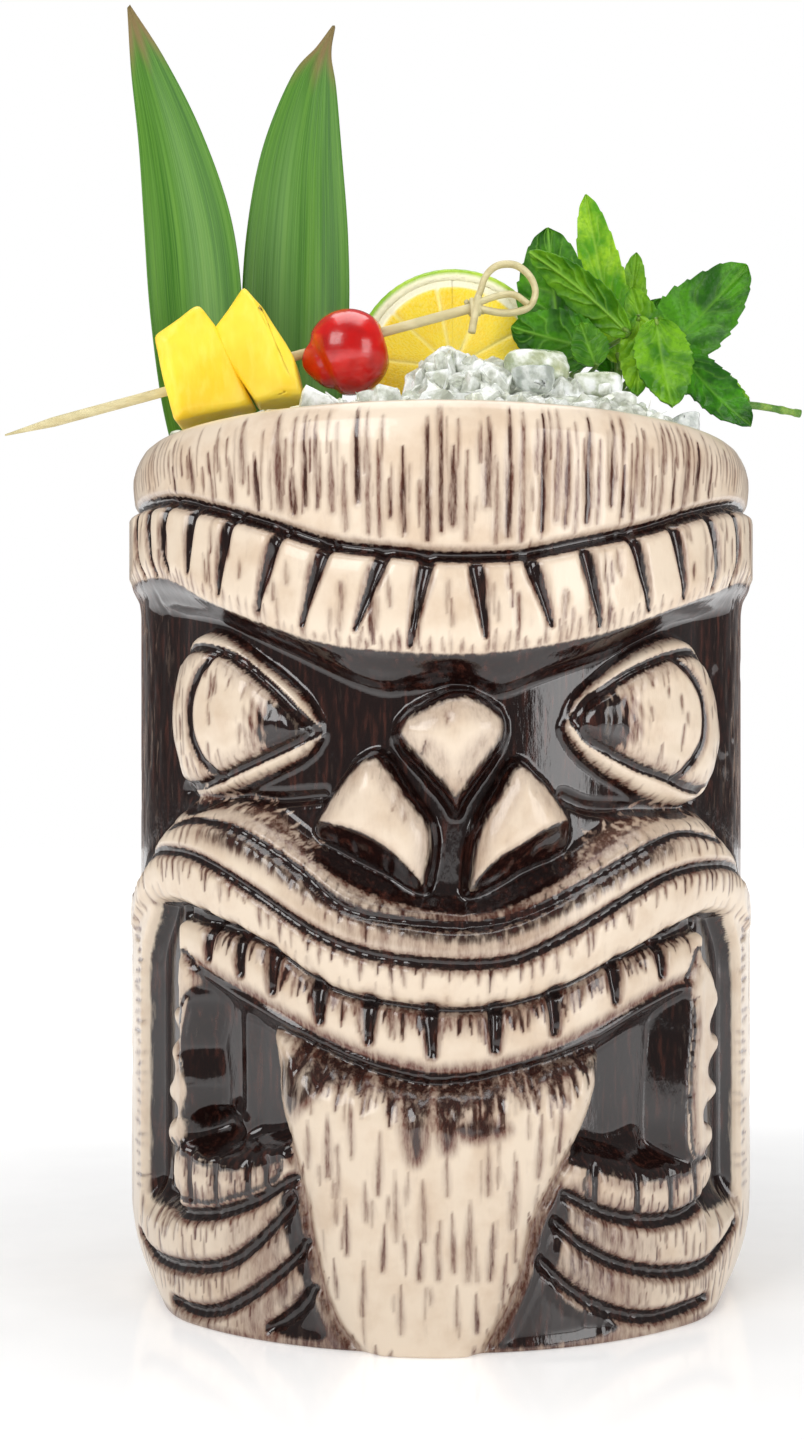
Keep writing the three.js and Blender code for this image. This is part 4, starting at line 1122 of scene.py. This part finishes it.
def tube(points, radii, sides=14, flat=1.0, across=(0, 1, 0)):
    """A closed rod along a path; flat below 1 thins it across the given direction."""
    points = np.asarray(points, float)
    forward = unit(np.gradient(points, axis=0))
    first = unit(np.cross(forward, across))
    second = np.cross(forward, first)
    turn = np.linspace(0, 2 * np.pi, sides, endpoint=False)
    radii = np.broadcast_to(radii, len(points))[:, None, None]
    ring = first[:, None] * np.cos(turn)[:, None] * flat + second[:, None] * np.sin(turn)[:, None]
    body = (points[:, None] + radii * ring).reshape(-1, 3)
    faces = grid_faces(len(points), sides, closed=True).tolist()
    last = (len(points) - 1) * sides
    faces += [list(range(sides))[::-1], list(range(last, last + sides))]
    return body, faces


def joined(*forms):
    """Several sets of points and faces as one."""
    points, faces, passed = [], [], 0
    for form_points, form_faces in forms:
        points.append(form_points)
        faces += [[corner + passed for corner in face] for face in form_faces]
        passed += len(form_points)
    return np.vstack(points), faces


def stem_material():
    shader = Shader("mint_stem", Subsurface_Weight=0.1, Subsurface_Scale=0.001, Specular_IOR_Level=0.4)
    grain = shader.noise(0.5, (1, 1, 0.3))
    shader.set("Base Color", shader.blotches(grain, 0.35, 0.7, (70, 118, 34), (128, 160, 66)))
    shader.set("Roughness", shader.spread(grain, 0.3, 0.7, 0.4, 0.55))
    shader.bump(shader.noise(2.5), 0.08)
    return shader.material


def leaf_stalk(stem, foot, tip):
    """The thin stalk from the nearest place on the stem, a little lower, to a leaf's foot."""
    foot, tip = np.array(foot), np.array(tip)
    nearest = stem[np.argmin(np.linalg.norm(stem - foot + (0, 0, 2.5), axis=1))]
    bend = 0.5 * (nearest + foot) + (0, 0, 0.6)
    line, _ = spline([nearest, bend, foot, foot + 0.06 * (tip - foot)], 24)
    return tube(line, np.linspace(0.5, 0.3, 24), sides=8, across=(0.3, 0.2, 1))


def make_mint():
    """The sprigs; each has four leaf nodes, and a further small leaf stands for the last of them."""
    leaf_paint, stem_paint = mint_material(), stem_material()
    for side, sprig in SPRIGS.items():
        body = "mint_" + side
        here, _ = spline(sprig["stem"], 60)
        along = np.linspace(0, 1, 60)
        radii = 0.75 - 0.25 * along + 0.12 * np.exp(-(((along * 4) % 1 - 0.5) / 0.08) ** 2)
        radii[-3:] += 0.12 if side == "right" else 0
        stalks = [tube(here, radii, across=(0.2, 1, 0.1))]
        stalks += [leaf_stalk(here, foot, tip) for foot, tip, *_ in sprig["leaves"]]
        stem = make_piece("mint_stalk_" + side, *joined(*stalks), stem_paint, body)
        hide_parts("mint_stem_" + side)
        for i, leaf in enumerate(sprig["leaves"], 1):
            node = f"mint_leaf_{side}_{min(i, LEAF_NODES)}"
            make_mint_leaf(f"mint_{side}_leaf_{i}", node, body, *leaf, leaf_paint)


# ---------------------------------------------------------------- the pick, fruit and cherry

PICK_TIP = np.array([-64, -17, 126.9])
PICK_KNOT = np.array([5, -17, 145.7])
PICK_LOOP = [
    (4.6, -17, 145.4), (5.7, -17.2, 147.8), (6.6, -17.4, 150.2), (8.4, -17.4, 151.7), (11, -17.1, 151.8),
    (13.1, -16.5, 150.3), (13.9, -16.1, 148.1), (12.9, -16.2, 145.9), (10, -16.8, 144.9),
    (7, -17.2, 145.1), (4.4, -17.3, 145.9),
]
PICK_STRAND = [(12.7, -16.4, 146.4), (10.6, -17.2, 147.5), (8, -17.6, 147.1), (5.2, -17.7, 146)]
PICK_TAIL = [(5.5, -17.8, 147), (5, -18, 144.6), (4.5, -18.1, 141.7)]


def bamboo_material():
    shader = Shader("bamboo", Specular_IOR_Level=0.35)
    fibre = shader.noise(0.8, (0.28, 1, 1), detail=3.0)
    patch = shader.noise(0.25)
    pale = shader.blotches(fibre, 0.35, 0.7, (216, 205, 162), (198, 184, 138))
    shader.set("Base Color", shader.mix(shader.spread(patch, 0.45, 0.75, 0, 0.4), pale, paint(150, 146, 98)))
    shader.set("Roughness", shader.spread(fibre, 0.3, 0.7, 0.45, 0.65))
    shader.bump(fibre, 0.04)
    return shader.material


def make_pick():
    """The knot pick: a split bamboo shaft, its knot, its loop and its tail."""
    along = np.linspace(0, 1, 60)[:, None]
    shaft = PICK_TIP + (PICK_KNOT - PICK_TIP) * along
    thickness = 0.72 * np.minimum(1, 0.18 + along[:, 0] * 8)
    loop, _ = spline(PICK_LOOP, 90)
    strand, _ = spline(PICK_STRAND, 40)
    tail, _ = spline(PICK_TAIL, 16)
    wrap = np.linspace(0, 2.4 * 2 * np.pi, 70)
    axis = unit(PICK_KNOT - PICK_TIP)
    upright = unit(np.cross(axis, (0, 1, 0)))
    coil = PICK_KNOT + axis * (-1.0 + wrap[:, None] / 7.5) + 1.05 * (
        upright * np.cos(wrap)[:, None] + np.array([0, 1, 0]) * np.sin(wrap)[:, None]
    )
    pieces = [tube(shaft, thickness), tube(loop, 0.9, flat=0.55), tube(strand, 0.9, flat=0.5)]
    pieces += [tube(tail, 0.8, flat=0.7), tube(coil, 0.42, sides=8)]
    pick = make_piece("knot_pick", *joined(*pieces), bamboo_material(), "pick")
    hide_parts("cocktail_pick")


def fruit_material():
    """Ripe yellow flesh with faint fibres, a little light passing into it, and a moist surface."""
    shader = Shader("fruit", Subsurface_Weight=0.06, Subsurface_Scale=0.001, Coat_Weight=0.15)
    shader.set("Coat Roughness", 0.25)
    patch = shader.noise(0.1, detail=3.0)
    fibre = shader.noise(0.9, (1, 1, 0.35), detail=4.0)
    yellow = shader.blotches(patch, 0.36, 0.66, (254, 223, 62), (249, 206, 38))
    streaks = shader.spread(fibre, 0.45, 0.75, 0, 0.3)
    shader.set("Base Color", shader.mix(streaks, yellow, paint(254, 231, 104)))
    shader.set("Roughness", shader.spread(fibre, 0.3, 0.7, 0.36, 0.5))
    shader.bump(fibre, 0.06)
    return shader.material


# Each chunk seen from the front: its outline, and the crease that stands nearest, as [x, z].
OUTER_CHUNK = [(-41.5, 140.3), (-35.2, 145.1), (-32.9, 142.4), (-27.4, 131), (-38.5, 127.9), (-39.8, 132.6)]
OUTER_CREASE = [(-39.6, 139.4), (-37.4, 129.4)]
INNER_CHUNK = [(-33.6, 141.2), (-28.4, 147.1), (-25.7, 144.2), (-21.2, 137.2), (-20, 131.6), (-26.8, 130.8)]
INNER_CREASE = [(-27, 145.6), (-22.6, 132.4)]


def hull(points):
    """The closed skin round a set of points, as a bmesh."""
    form = bmesh.new()
    for point in points:
        form.verts.new(point)
    bmesh.ops.convex_hull(form, input=form.verts)
    bmesh.ops.delete(form, geom=[corner for corner in form.verts if not corner.link_faces], context="VERTS")
    bmesh.ops.dissolve_limit(form, angle_limit=0.02, verts=form.verts, edges=form.edges)
    return form


def drain(form):
    """A bmesh as points and faces."""
    form.verts.index_update()
    points = np.array([corner.co for corner in form.verts])
    faces = [[corner.index for corner in face.verts] for face in form.faces]
    form.free()
    return points, faces


def waves(points, size, seed):
    """A smooth unevenness between about -1 and 1 with features of a given size."""
    turned = points @ np.array([[0.8, 0.5, -0.33], [-0.45, 0.86, 0.2], [0.38, -0.1, 0.92]])
    a, b, c = (turned[:, i] * 2 * np.pi / size for i in range(3))
    broad = np.sin(a + seed) + np.sin(b * 1.31 + 2.1 * seed)
    return (broad + np.sin((c + a) * 0.77 - seed) + np.sin(c * 1.9 + b)) / 3


def make_chunk(name, node, body, outline, crease, material, front, back, slope, rear_left):
    """A cut chunk: two flat faces fall back from a crease to the outline, and the rear is straight."""
    fall = unit(np.subtract(crease[1], crease[0]))
    corners = [(x, front, z) for x, z in crease]
    for x, z in outline:
        from_crease = (x - crease[0][0]) * fall[1] - (z - crease[0][1]) * fall[0]
        corners.append((x, front + (0.5 if from_crease > 0 else slope) * abs(from_crease), z))
        corners.append((max(x, rear_left), back, z + 0.4))
    form = hull(corners)
    bmesh.ops.bevel(form, geom=form.edges[:], offset=0.7, segments=3, affect="EDGES", profile=0.6)
    bmesh.ops.triangulate(form, faces=form.faces[:])
    long_edges = [edge for edge in form.edges if edge.calc_length() > 1.2]
    bmesh.ops.subdivide_edges(form, edges=long_edges, cuts=3, use_grid_fill=True)
    form.normal_update()
    normals = np.array([corner.normal for corner in form.verts])
    points, faces = drain(form)
    points = points + normals * (0.08 * waves(points, 6, front) + 0.03 * waves(points, 1.9, back))[:, None]
    chunk = make_piece(name, points, faces, material, body)
    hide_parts(node)


def cherry_material():
    shader = Shader("cherry", Coat_Weight=0.4, Coat_Roughness=0.03, Subsurface_Weight=0.05)
    shader.set("Subsurface Scale", 0.001)
    patch = shader.noise(0.14, detail=3.0)
    shader.set("Base Color", shader.blotches(patch, 0.35, 0.7, (216, 14, 8), (164, 3, 4)))
    shader.set("Roughness", shader.spread(patch, 0.3, 0.7, 0.16, 0.28))
    shader.bump(shader.noise(0.5), 0.12)
    return shader.material


CHERRY_CENTRE = np.array([-13.5, -17, 139.0])
CHERRY_RADIUS = 6.2
CHERRY_RINGS, CHERRY_SIDES = 65, 96


def make_cherry():
    """A ball drawn in round the pick, with a fold down its left side and a small stalk end."""
    axis = unit(PICK_KNOT - PICK_TIP)
    latitude = np.linspace(0, np.pi, CHERRY_RINGS)[:, None]
    longitude = np.linspace(0, 2 * np.pi, CHERRY_SIDES, endpoint=False)[None]
    upright = unit(np.cross(axis, (0, 1, 0)))
    depth = np.array([0.0, 1, 0])
    dimple = 1 - 0.16 * np.exp(-((latitude / 0.34) ** 2))
    dimple = dimple + 0.14 * np.exp(-(((np.pi - latitude) / 0.36) ** 2))
    crease = np.exp(-(((latitude - 2.42 - 0.2 * np.cos(longitude)) / 0.16) ** 2))
    fold = 1 - 0.1 * crease * (0.7 + 0.3 * np.cos(longitude + 2))
    radius = CHERRY_RADIUS * dimple * fold * (1 + 0.015 * np.cos(3 * longitude) * np.sin(latitude))
    radial = upright * np.cos(longitude)[..., None] + depth * np.sin(longitude)[..., None]
    ball = CHERRY_CENTRE + axis * (radius * np.cos(latitude))[..., None]
    ball = ball + radial * (radius * np.sin(latitude))[..., None]
    # One point is kept of the ring at each pole.
    spare = CHERRY_SIDES - 1
    points = ball.reshape(-1, 3)[spare:-spare]
    bands = grid_faces(CHERRY_RINGS, CHERRY_SIDES, closed=True)[CHERRY_SIDES:-CHERRY_SIDES]
    faces = (bands - spare).tolist()
    last = len(points) - 1
    for i in range(CHERRY_SIDES):
        after = (i + 1) % CHERRY_SIDES
        faces.append([0, 1 + after, 1 + i])
        faces.append([last, last - CHERRY_SIDES + i, last - CHERRY_SIDES + after])
    cherry = make_piece("cocktail_cherry", points, faces, cherry_material(), "cherry")
    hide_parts("cherry")


# ---------------------------------------------------------------- the citrus slice

CITRUS_CENTRE = np.array([1.8, -3.5, 139.6])
CITRUS_RADIUS = 15.3
PEEL = 1.9
SEGMENTS = 10


def citrus_flesh_material():
    shader = Shader("citrus_flesh", Coat_Weight=0.3, Coat_Roughness=0.15)
    turn, reach = shader.attribute("turn"), shader.attribute("reach")
    polar = shader.node("CombineXYZ", "Vector", {"X": turn, "Y": reach})
    cells = shader.node("Mapping", "Vector", {"Vector": polar, "Scale": (34, 4.4, 1)})
    vesicle = shader.node("TexNoise", "Fac", {"Vector": cells, "Scale": 1.0, "Detail": 3.0})
    patch = shader.noise(0.07)
    juice = shader.blotches(patch, 0.4, 0.65, (255, 226, 52), (252, 206, 22))
    juice = shader.mix(shader.spread(vesicle, 0.42, 0.7, 0, 0.5), juice, paint(255, 238, 120))
    skin = shader.mix(shader.attribute("pith"), paint(254, 236, 128), paint(250, 248, 218))
    shader.set("Base Color", shader.mix(shader.attribute("pulp"), skin, juice))
    shader.set("Roughness", shader.spread(vesicle, 0.3, 0.7, 0.22, 0.4))
    shader.bump(vesicle, 0.12)
    return shader.material


def citrus_peel_material():
    shader = Shader("citrus_peel", Specular_IOR_Level=0.5)
    pores = shader.noise(1.4, detail=2.0)
    patch = shader.noise(0.15)
    zest = shader.blotches(patch, 0.35, 0.65, (132, 184, 26), (184, 214, 60))
    shader.set("Base Color", shader.mix(shader.attribute("pith"), zest, paint(250, 248, 214)))
    shader.set("Roughness", shader.spread(pores, 0.3, 0.7, 0.3, 0.5))
    shader.bump(pores, 0.2)
    return shader.material


def on_slice(turn, radius, depth):
    """A place on the upright slice: its turn round the middle, its radius and its depth."""
    offsets = np.broadcast_arrays(radius * np.sin(turn), depth, radius * np.cos(turn))
    return CITRUS_CENTRE + np.stack(offsets, -1)


def make_citrus_flesh():
    """The flesh: two faces with raised segments between the walls, closed at the core and the rim."""
    turn = np.linspace(0, 2 * np.pi, 360, endpoint=False)[None]
    flesh_radius = CITRUS_RADIUS - PEEL
    reach = np.linspace(0.03, 1, 60)[:, None]
    radius = reach * flesh_radius
    sector = (turn * SEGMENTS / (2 * np.pi) + 0.32) % 1
    from_wall = np.minimum(sector, 1 - sector) * 2 * np.pi * radius / SEGMENTS
    from_skin = flesh_radius - radius + 0.2
    from_core = radius - 1.6
    inset = np.minimum(np.minimum(from_wall - 0.1, from_core), from_skin - 1.1)
    corner = np.sqrt(np.clip(3 - from_wall, 0, 9) ** 2 + np.clip(3.6 - from_skin, 0, 9) ** 2)
    inset = np.minimum(inset, 3.6 - corner)
    pulp = ramp(0, 0.35, inset)
    pith = np.broadcast_to(np.maximum(ramp(1.9, 0.9, from_skin), ramp(0.6, 0, from_core)), pulp.shape)
    depth = 1.85 + 0.3 * swell(inset, 1.2)
    front = on_slice(turn, radius, -depth)
    back = on_slice(turn, radius, depth)
    rows, columns = pulp.shape
    count = rows * columns
    faces = grid_faces(rows, columns, closed=True)
    shape = [faces.tolist(), (faces[:, ::-1] + count).tolist()]
    outer = [((rows - 1) * columns + i, (rows - 1) * columns + (i + 1) % columns) for i in range(columns)]
    shape.append([(a, b, b + count, a + count) for a, b in outer])
    core = list(range(columns))
    shape.append([core[::-1], [i + count for i in core]])
    values = {
        "pulp": np.vstack([pulp, pulp]),
        "pith": np.vstack([pith, pith]),
        "turn": np.broadcast_to(turn / (2 * np.pi) * 6, (2 * rows, columns)),
        "reach": np.broadcast_to(np.vstack([reach, reach]) * 6, (2 * rows, columns)),
    }
    points = np.vstack([front.reshape(-1, 3), back.reshape(-1, 3)])
    faces = [face for part in shape for face in part]
    flesh = make_piece("citrus_pulp", points, faces, citrus_flesh_material(), "citrus", **values)
    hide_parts("citrus_flesh")


PEEL_SIDES = 240


def make_citrus_peel():
    """The peel: a ring round the flesh with a rounded, finely dimpled outside."""
    outline = [(CITRUS_RADIUS - PEEL + 0.05, -1.95), (14.2, -2.05), (14.75, -2.1), (15.1, -1.95)]
    outline.append((CITRUS_RADIUS, -1.5))
    outline += [(radius, -depth) for radius, depth in outline[::-1]]
    radii, depths = np.array(outline).T[:, :, None]
    around = np.linspace(0, 2 * np.pi, PEEL_SIDES, endpoint=False)[None]
    dimples = 0.04 * np.sin(around * 61) * np.sin(np.arange(len(outline)) * 1.7)[:, None]
    ring = on_slice(around, radii + dimples - 0.05, depths)
    faces = grid_faces(len(outline), PEEL_SIDES, closed=True).tolist()
    last = (len(outline) - 1) * PEEL_SIDES
    for i in range(PEEL_SIDES):
        after = (i + 1) % PEEL_SIDES
        faces.append((last + i, last + after, after, i))
    pith = np.repeat(ramp(14.75, 14.3, radii), PEEL_SIDES)
    material = citrus_peel_material()
    peel = make_piece("citrus_rind_ring", ring.reshape(-1, 3), faces, material, "citrus", pith=pith)
    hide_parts("citrus_rind")


# ---------------------------------------------------------------- ice


def ice_material(name, tint, clear):
    """Wet ice: clear in parts, white with trapped air in others."""
    shader = Shader(name, IOR=1.31, Specular_IOR_Level=0.6, Coat_Weight=0.5, Coat_Roughness=0.04)
    frost = shader.noise(0.3, detail=4.0)
    shader.set("Base Color", shader.mix(shader.spread(frost, 0.35, 0.65), tint, paint(252, 254, 252)))
    shader.set("Transmission Weight", shader.spread(frost, 0.38, 0.62, clear, 0.15 * clear))
    shader.set("Roughness", shader.spread(frost, 0.35, 0.7, 0.06, 0.25))
    shader.bump(shader.noise(1.2, detail=3.0), 0.2)
    return shader.material


def mound_height(x, y):
    """The top of the heaped crushed ice."""
    heap = 12 * np.exp(-(((x - 2) / 11.5) ** 2) - ((y + 20) / 9) ** 2)
    right = 7.5 * np.exp(-(((x - 21) / 9) ** 2) - ((y + 18) / 9) ** 2)
    edge = 3.6 * np.exp(-(((x - 37) / 8) ** 2) - ((y + 8) / 12) ** 2)
    rear = 5 * np.exp(-(((x - 2) / 24) ** 2) - ((y - 20) / 14) ** 2)
    return 128.6 + (heap + right + edge + rear) * ramp(42.5, 34, np.hypot(x, y))


KEPT_CLEAR = [
    "pineapple_leaf_left", "pineapple_leaf_right", "fruit_chunk_outer", "fruit_chunk_inner", "cherry",
    "citrus_rind", "mint_stem_left", "mint_stem_middle",
]
CRUSHED_FORMS = 14
SHARDS = 800
ICE_REACH = 42
ICE_FLOOR = 126.6
ICE_LUMP_NODES = 14


def make_crushed_ice():
    """Small shards heaped on the ice bed, each a turned and stretched copy of one of a few forms."""
    rng = np.random.default_rng(11)
    forms = []
    for _ in range(CRUSHED_FORMS):
        corners = unit(rng.normal(size=(10, 3))) * rng.uniform(0.7, 1, (10, 1)) * (1, 1, 0.8)
        form = hull(corners)
        bmesh.ops.bevel(form, geom=form.edges[:], offset=0.07, segments=1, affect="EDGES")
        forms.append(drain(form))
    clear = [[np.array(corner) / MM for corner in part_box(node)] for node in KEPT_CLEAR]
    shards = []
    while len(shards) < SHARDS:
        heaped = len(shards) % 3 > 0
        x, y = rng.normal((8, -21), (15, 7)) if heaped else rng.uniform(-ICE_REACH, ICE_REACH, 2)
        size = rng.uniform(2.2, 5.2) if heaped else rng.uniform(1.4, 3.2)
        top = mound_height(x, y) - size
        centre = np.array([x, y, ICE_FLOOR + max(0, top - ICE_FLOOR) * rng.uniform() ** 0.5])
        if np.hypot(x, y) > ICE_REACH - size:
            continue
        if any(((centre > low - size) & (centre < high + size)).all() for low, high in clear):
            continue
        points, faces = forms[rng.integers(len(forms))]
        turn = np.linalg.qr(rng.normal(size=(3, 3)))[0]
        turn *= np.sign(np.linalg.det(turn))
        shards.append((centre + size * points @ turn.T * rng.uniform(0.75, 1.25, 3), faces))
    ice = ice_material("crushed_ice", paint(244, 248, 230), 0.62)
    crushed = make_piece("crushed_ice", *joined(*shards), ice, "ice", smooth=False)
    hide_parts(*[f"ice_lump_{i}" for i in range(1, ICE_LUMP_NODES + 1)])
    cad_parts["ice_bed"].data.materials[0] = ice


# Larger melting lumps: centre, half lengths, turn and whether it is tinted green.
MELTING_LUMPS = [
    [(14.4, -20.6, 135.8), (6.4, 4.2, 3.6), 0.3, True],
    [(13.4, -27, 132.6), (4.8, 3, 2.6), 2.2, False],
    [(23.4, -21, 133), (4.4, 3.4, 3), 3.1, True],
    [(36.4, -12, 129.4), (2.8, 2.6, 2.2), 6.4, False],
    [(-39.4, -8, 128), (2.2, 1.6, 2.4), 1.1, True],
]


def make_melting_lumps():
    """The larger, rounder lumps that lie among the crushed ice."""
    green_ice = ice_material("melting_ice", paint(218, 228, 184), 0.6)
    clear_ice = ice_material("clear_ice", paint(238, 245, 241), 0.6)
    for number, (centre, half, turn, green) in enumerate(MELTING_LUMPS, 1):
        rng = np.random.default_rng(number)
        cube = np.array([(x, y, z) for x in (-1, 1) for y in (-1, 1) for z in (-1, 1)])
        form = hull(cube * rng.uniform(0.35, 1, (8, 3)))
        bmesh.ops.bevel(form, geom=form.edges[:], offset=0.28, segments=5, affect="EDGES", profile=0.6)
        bmesh.ops.triangulate(form, faces=form.faces[:])
        long_edges = [edge for edge in form.edges if edge.calc_length() > 0.3]
        bmesh.ops.subdivide_edges(form, edges=long_edges, cuts=3, use_grid_fill=True)
        points, faces = drain(form)
        points = points * (1 + 0.03 * waves(points, 0.9, turn))[:, None] * np.array(half)
        cos, sin = math.cos(turn), math.sin(turn)
        points = points @ np.array([[cos, sin, 0], [-sin, cos, 0], [0, 0, 1]]) + np.array(centre)
        material = green_ice if green else clear_ice
        lump = make_piece(f"melting_lump_{number}", points, faces, material, "ice")


make_camera()
make_world()
bpy.context.scene.view_settings.view_transform = "Standard"
softbox("key", (-420, -560, 520), (0, 0, 70), 420, 420, 3.1)
softbox("fill", (520, -480, 260), (0, 0, 70), 300, 460, 1.7)
softbox("top", (0, 60, 700), (0, 0, 100), 500, 500, 2.3)
make_floor()
make_mug()
crown_paint = crown_leaf_material()
make_crown_leaf("crown_leaf_left", "pineapple_leaf_left", "leaf_left", LEFT_CROWN, -0.15, crown_paint)
make_crown_leaf("crown_leaf_right", "pineapple_leaf_right", "leaf_right", RIGHT_CROWN, 0.35, crown_paint)
make_mint()
make_pick()
fruit_paint = fruit_material()
make_chunk(
    "outer_chunk", "fruit_chunk_outer", "fruit_outer", OUTER_CHUNK, OUTER_CREASE, fruit_paint,
    front=-22.6, back=-12, slope=0.28, rear_left=-45,
)
make_chunk(
    "inner_chunk", "fruit_chunk_inner", "fruit_inner", INNER_CHUNK, INNER_CREASE, fruit_paint,
    front=-23.4, back=-11.5, slope=0.1, rear_left=-29,
)
make_cherry()
make_citrus_flesh()
make_citrus_peel()
make_crushed_ice()
make_melting_lumps()
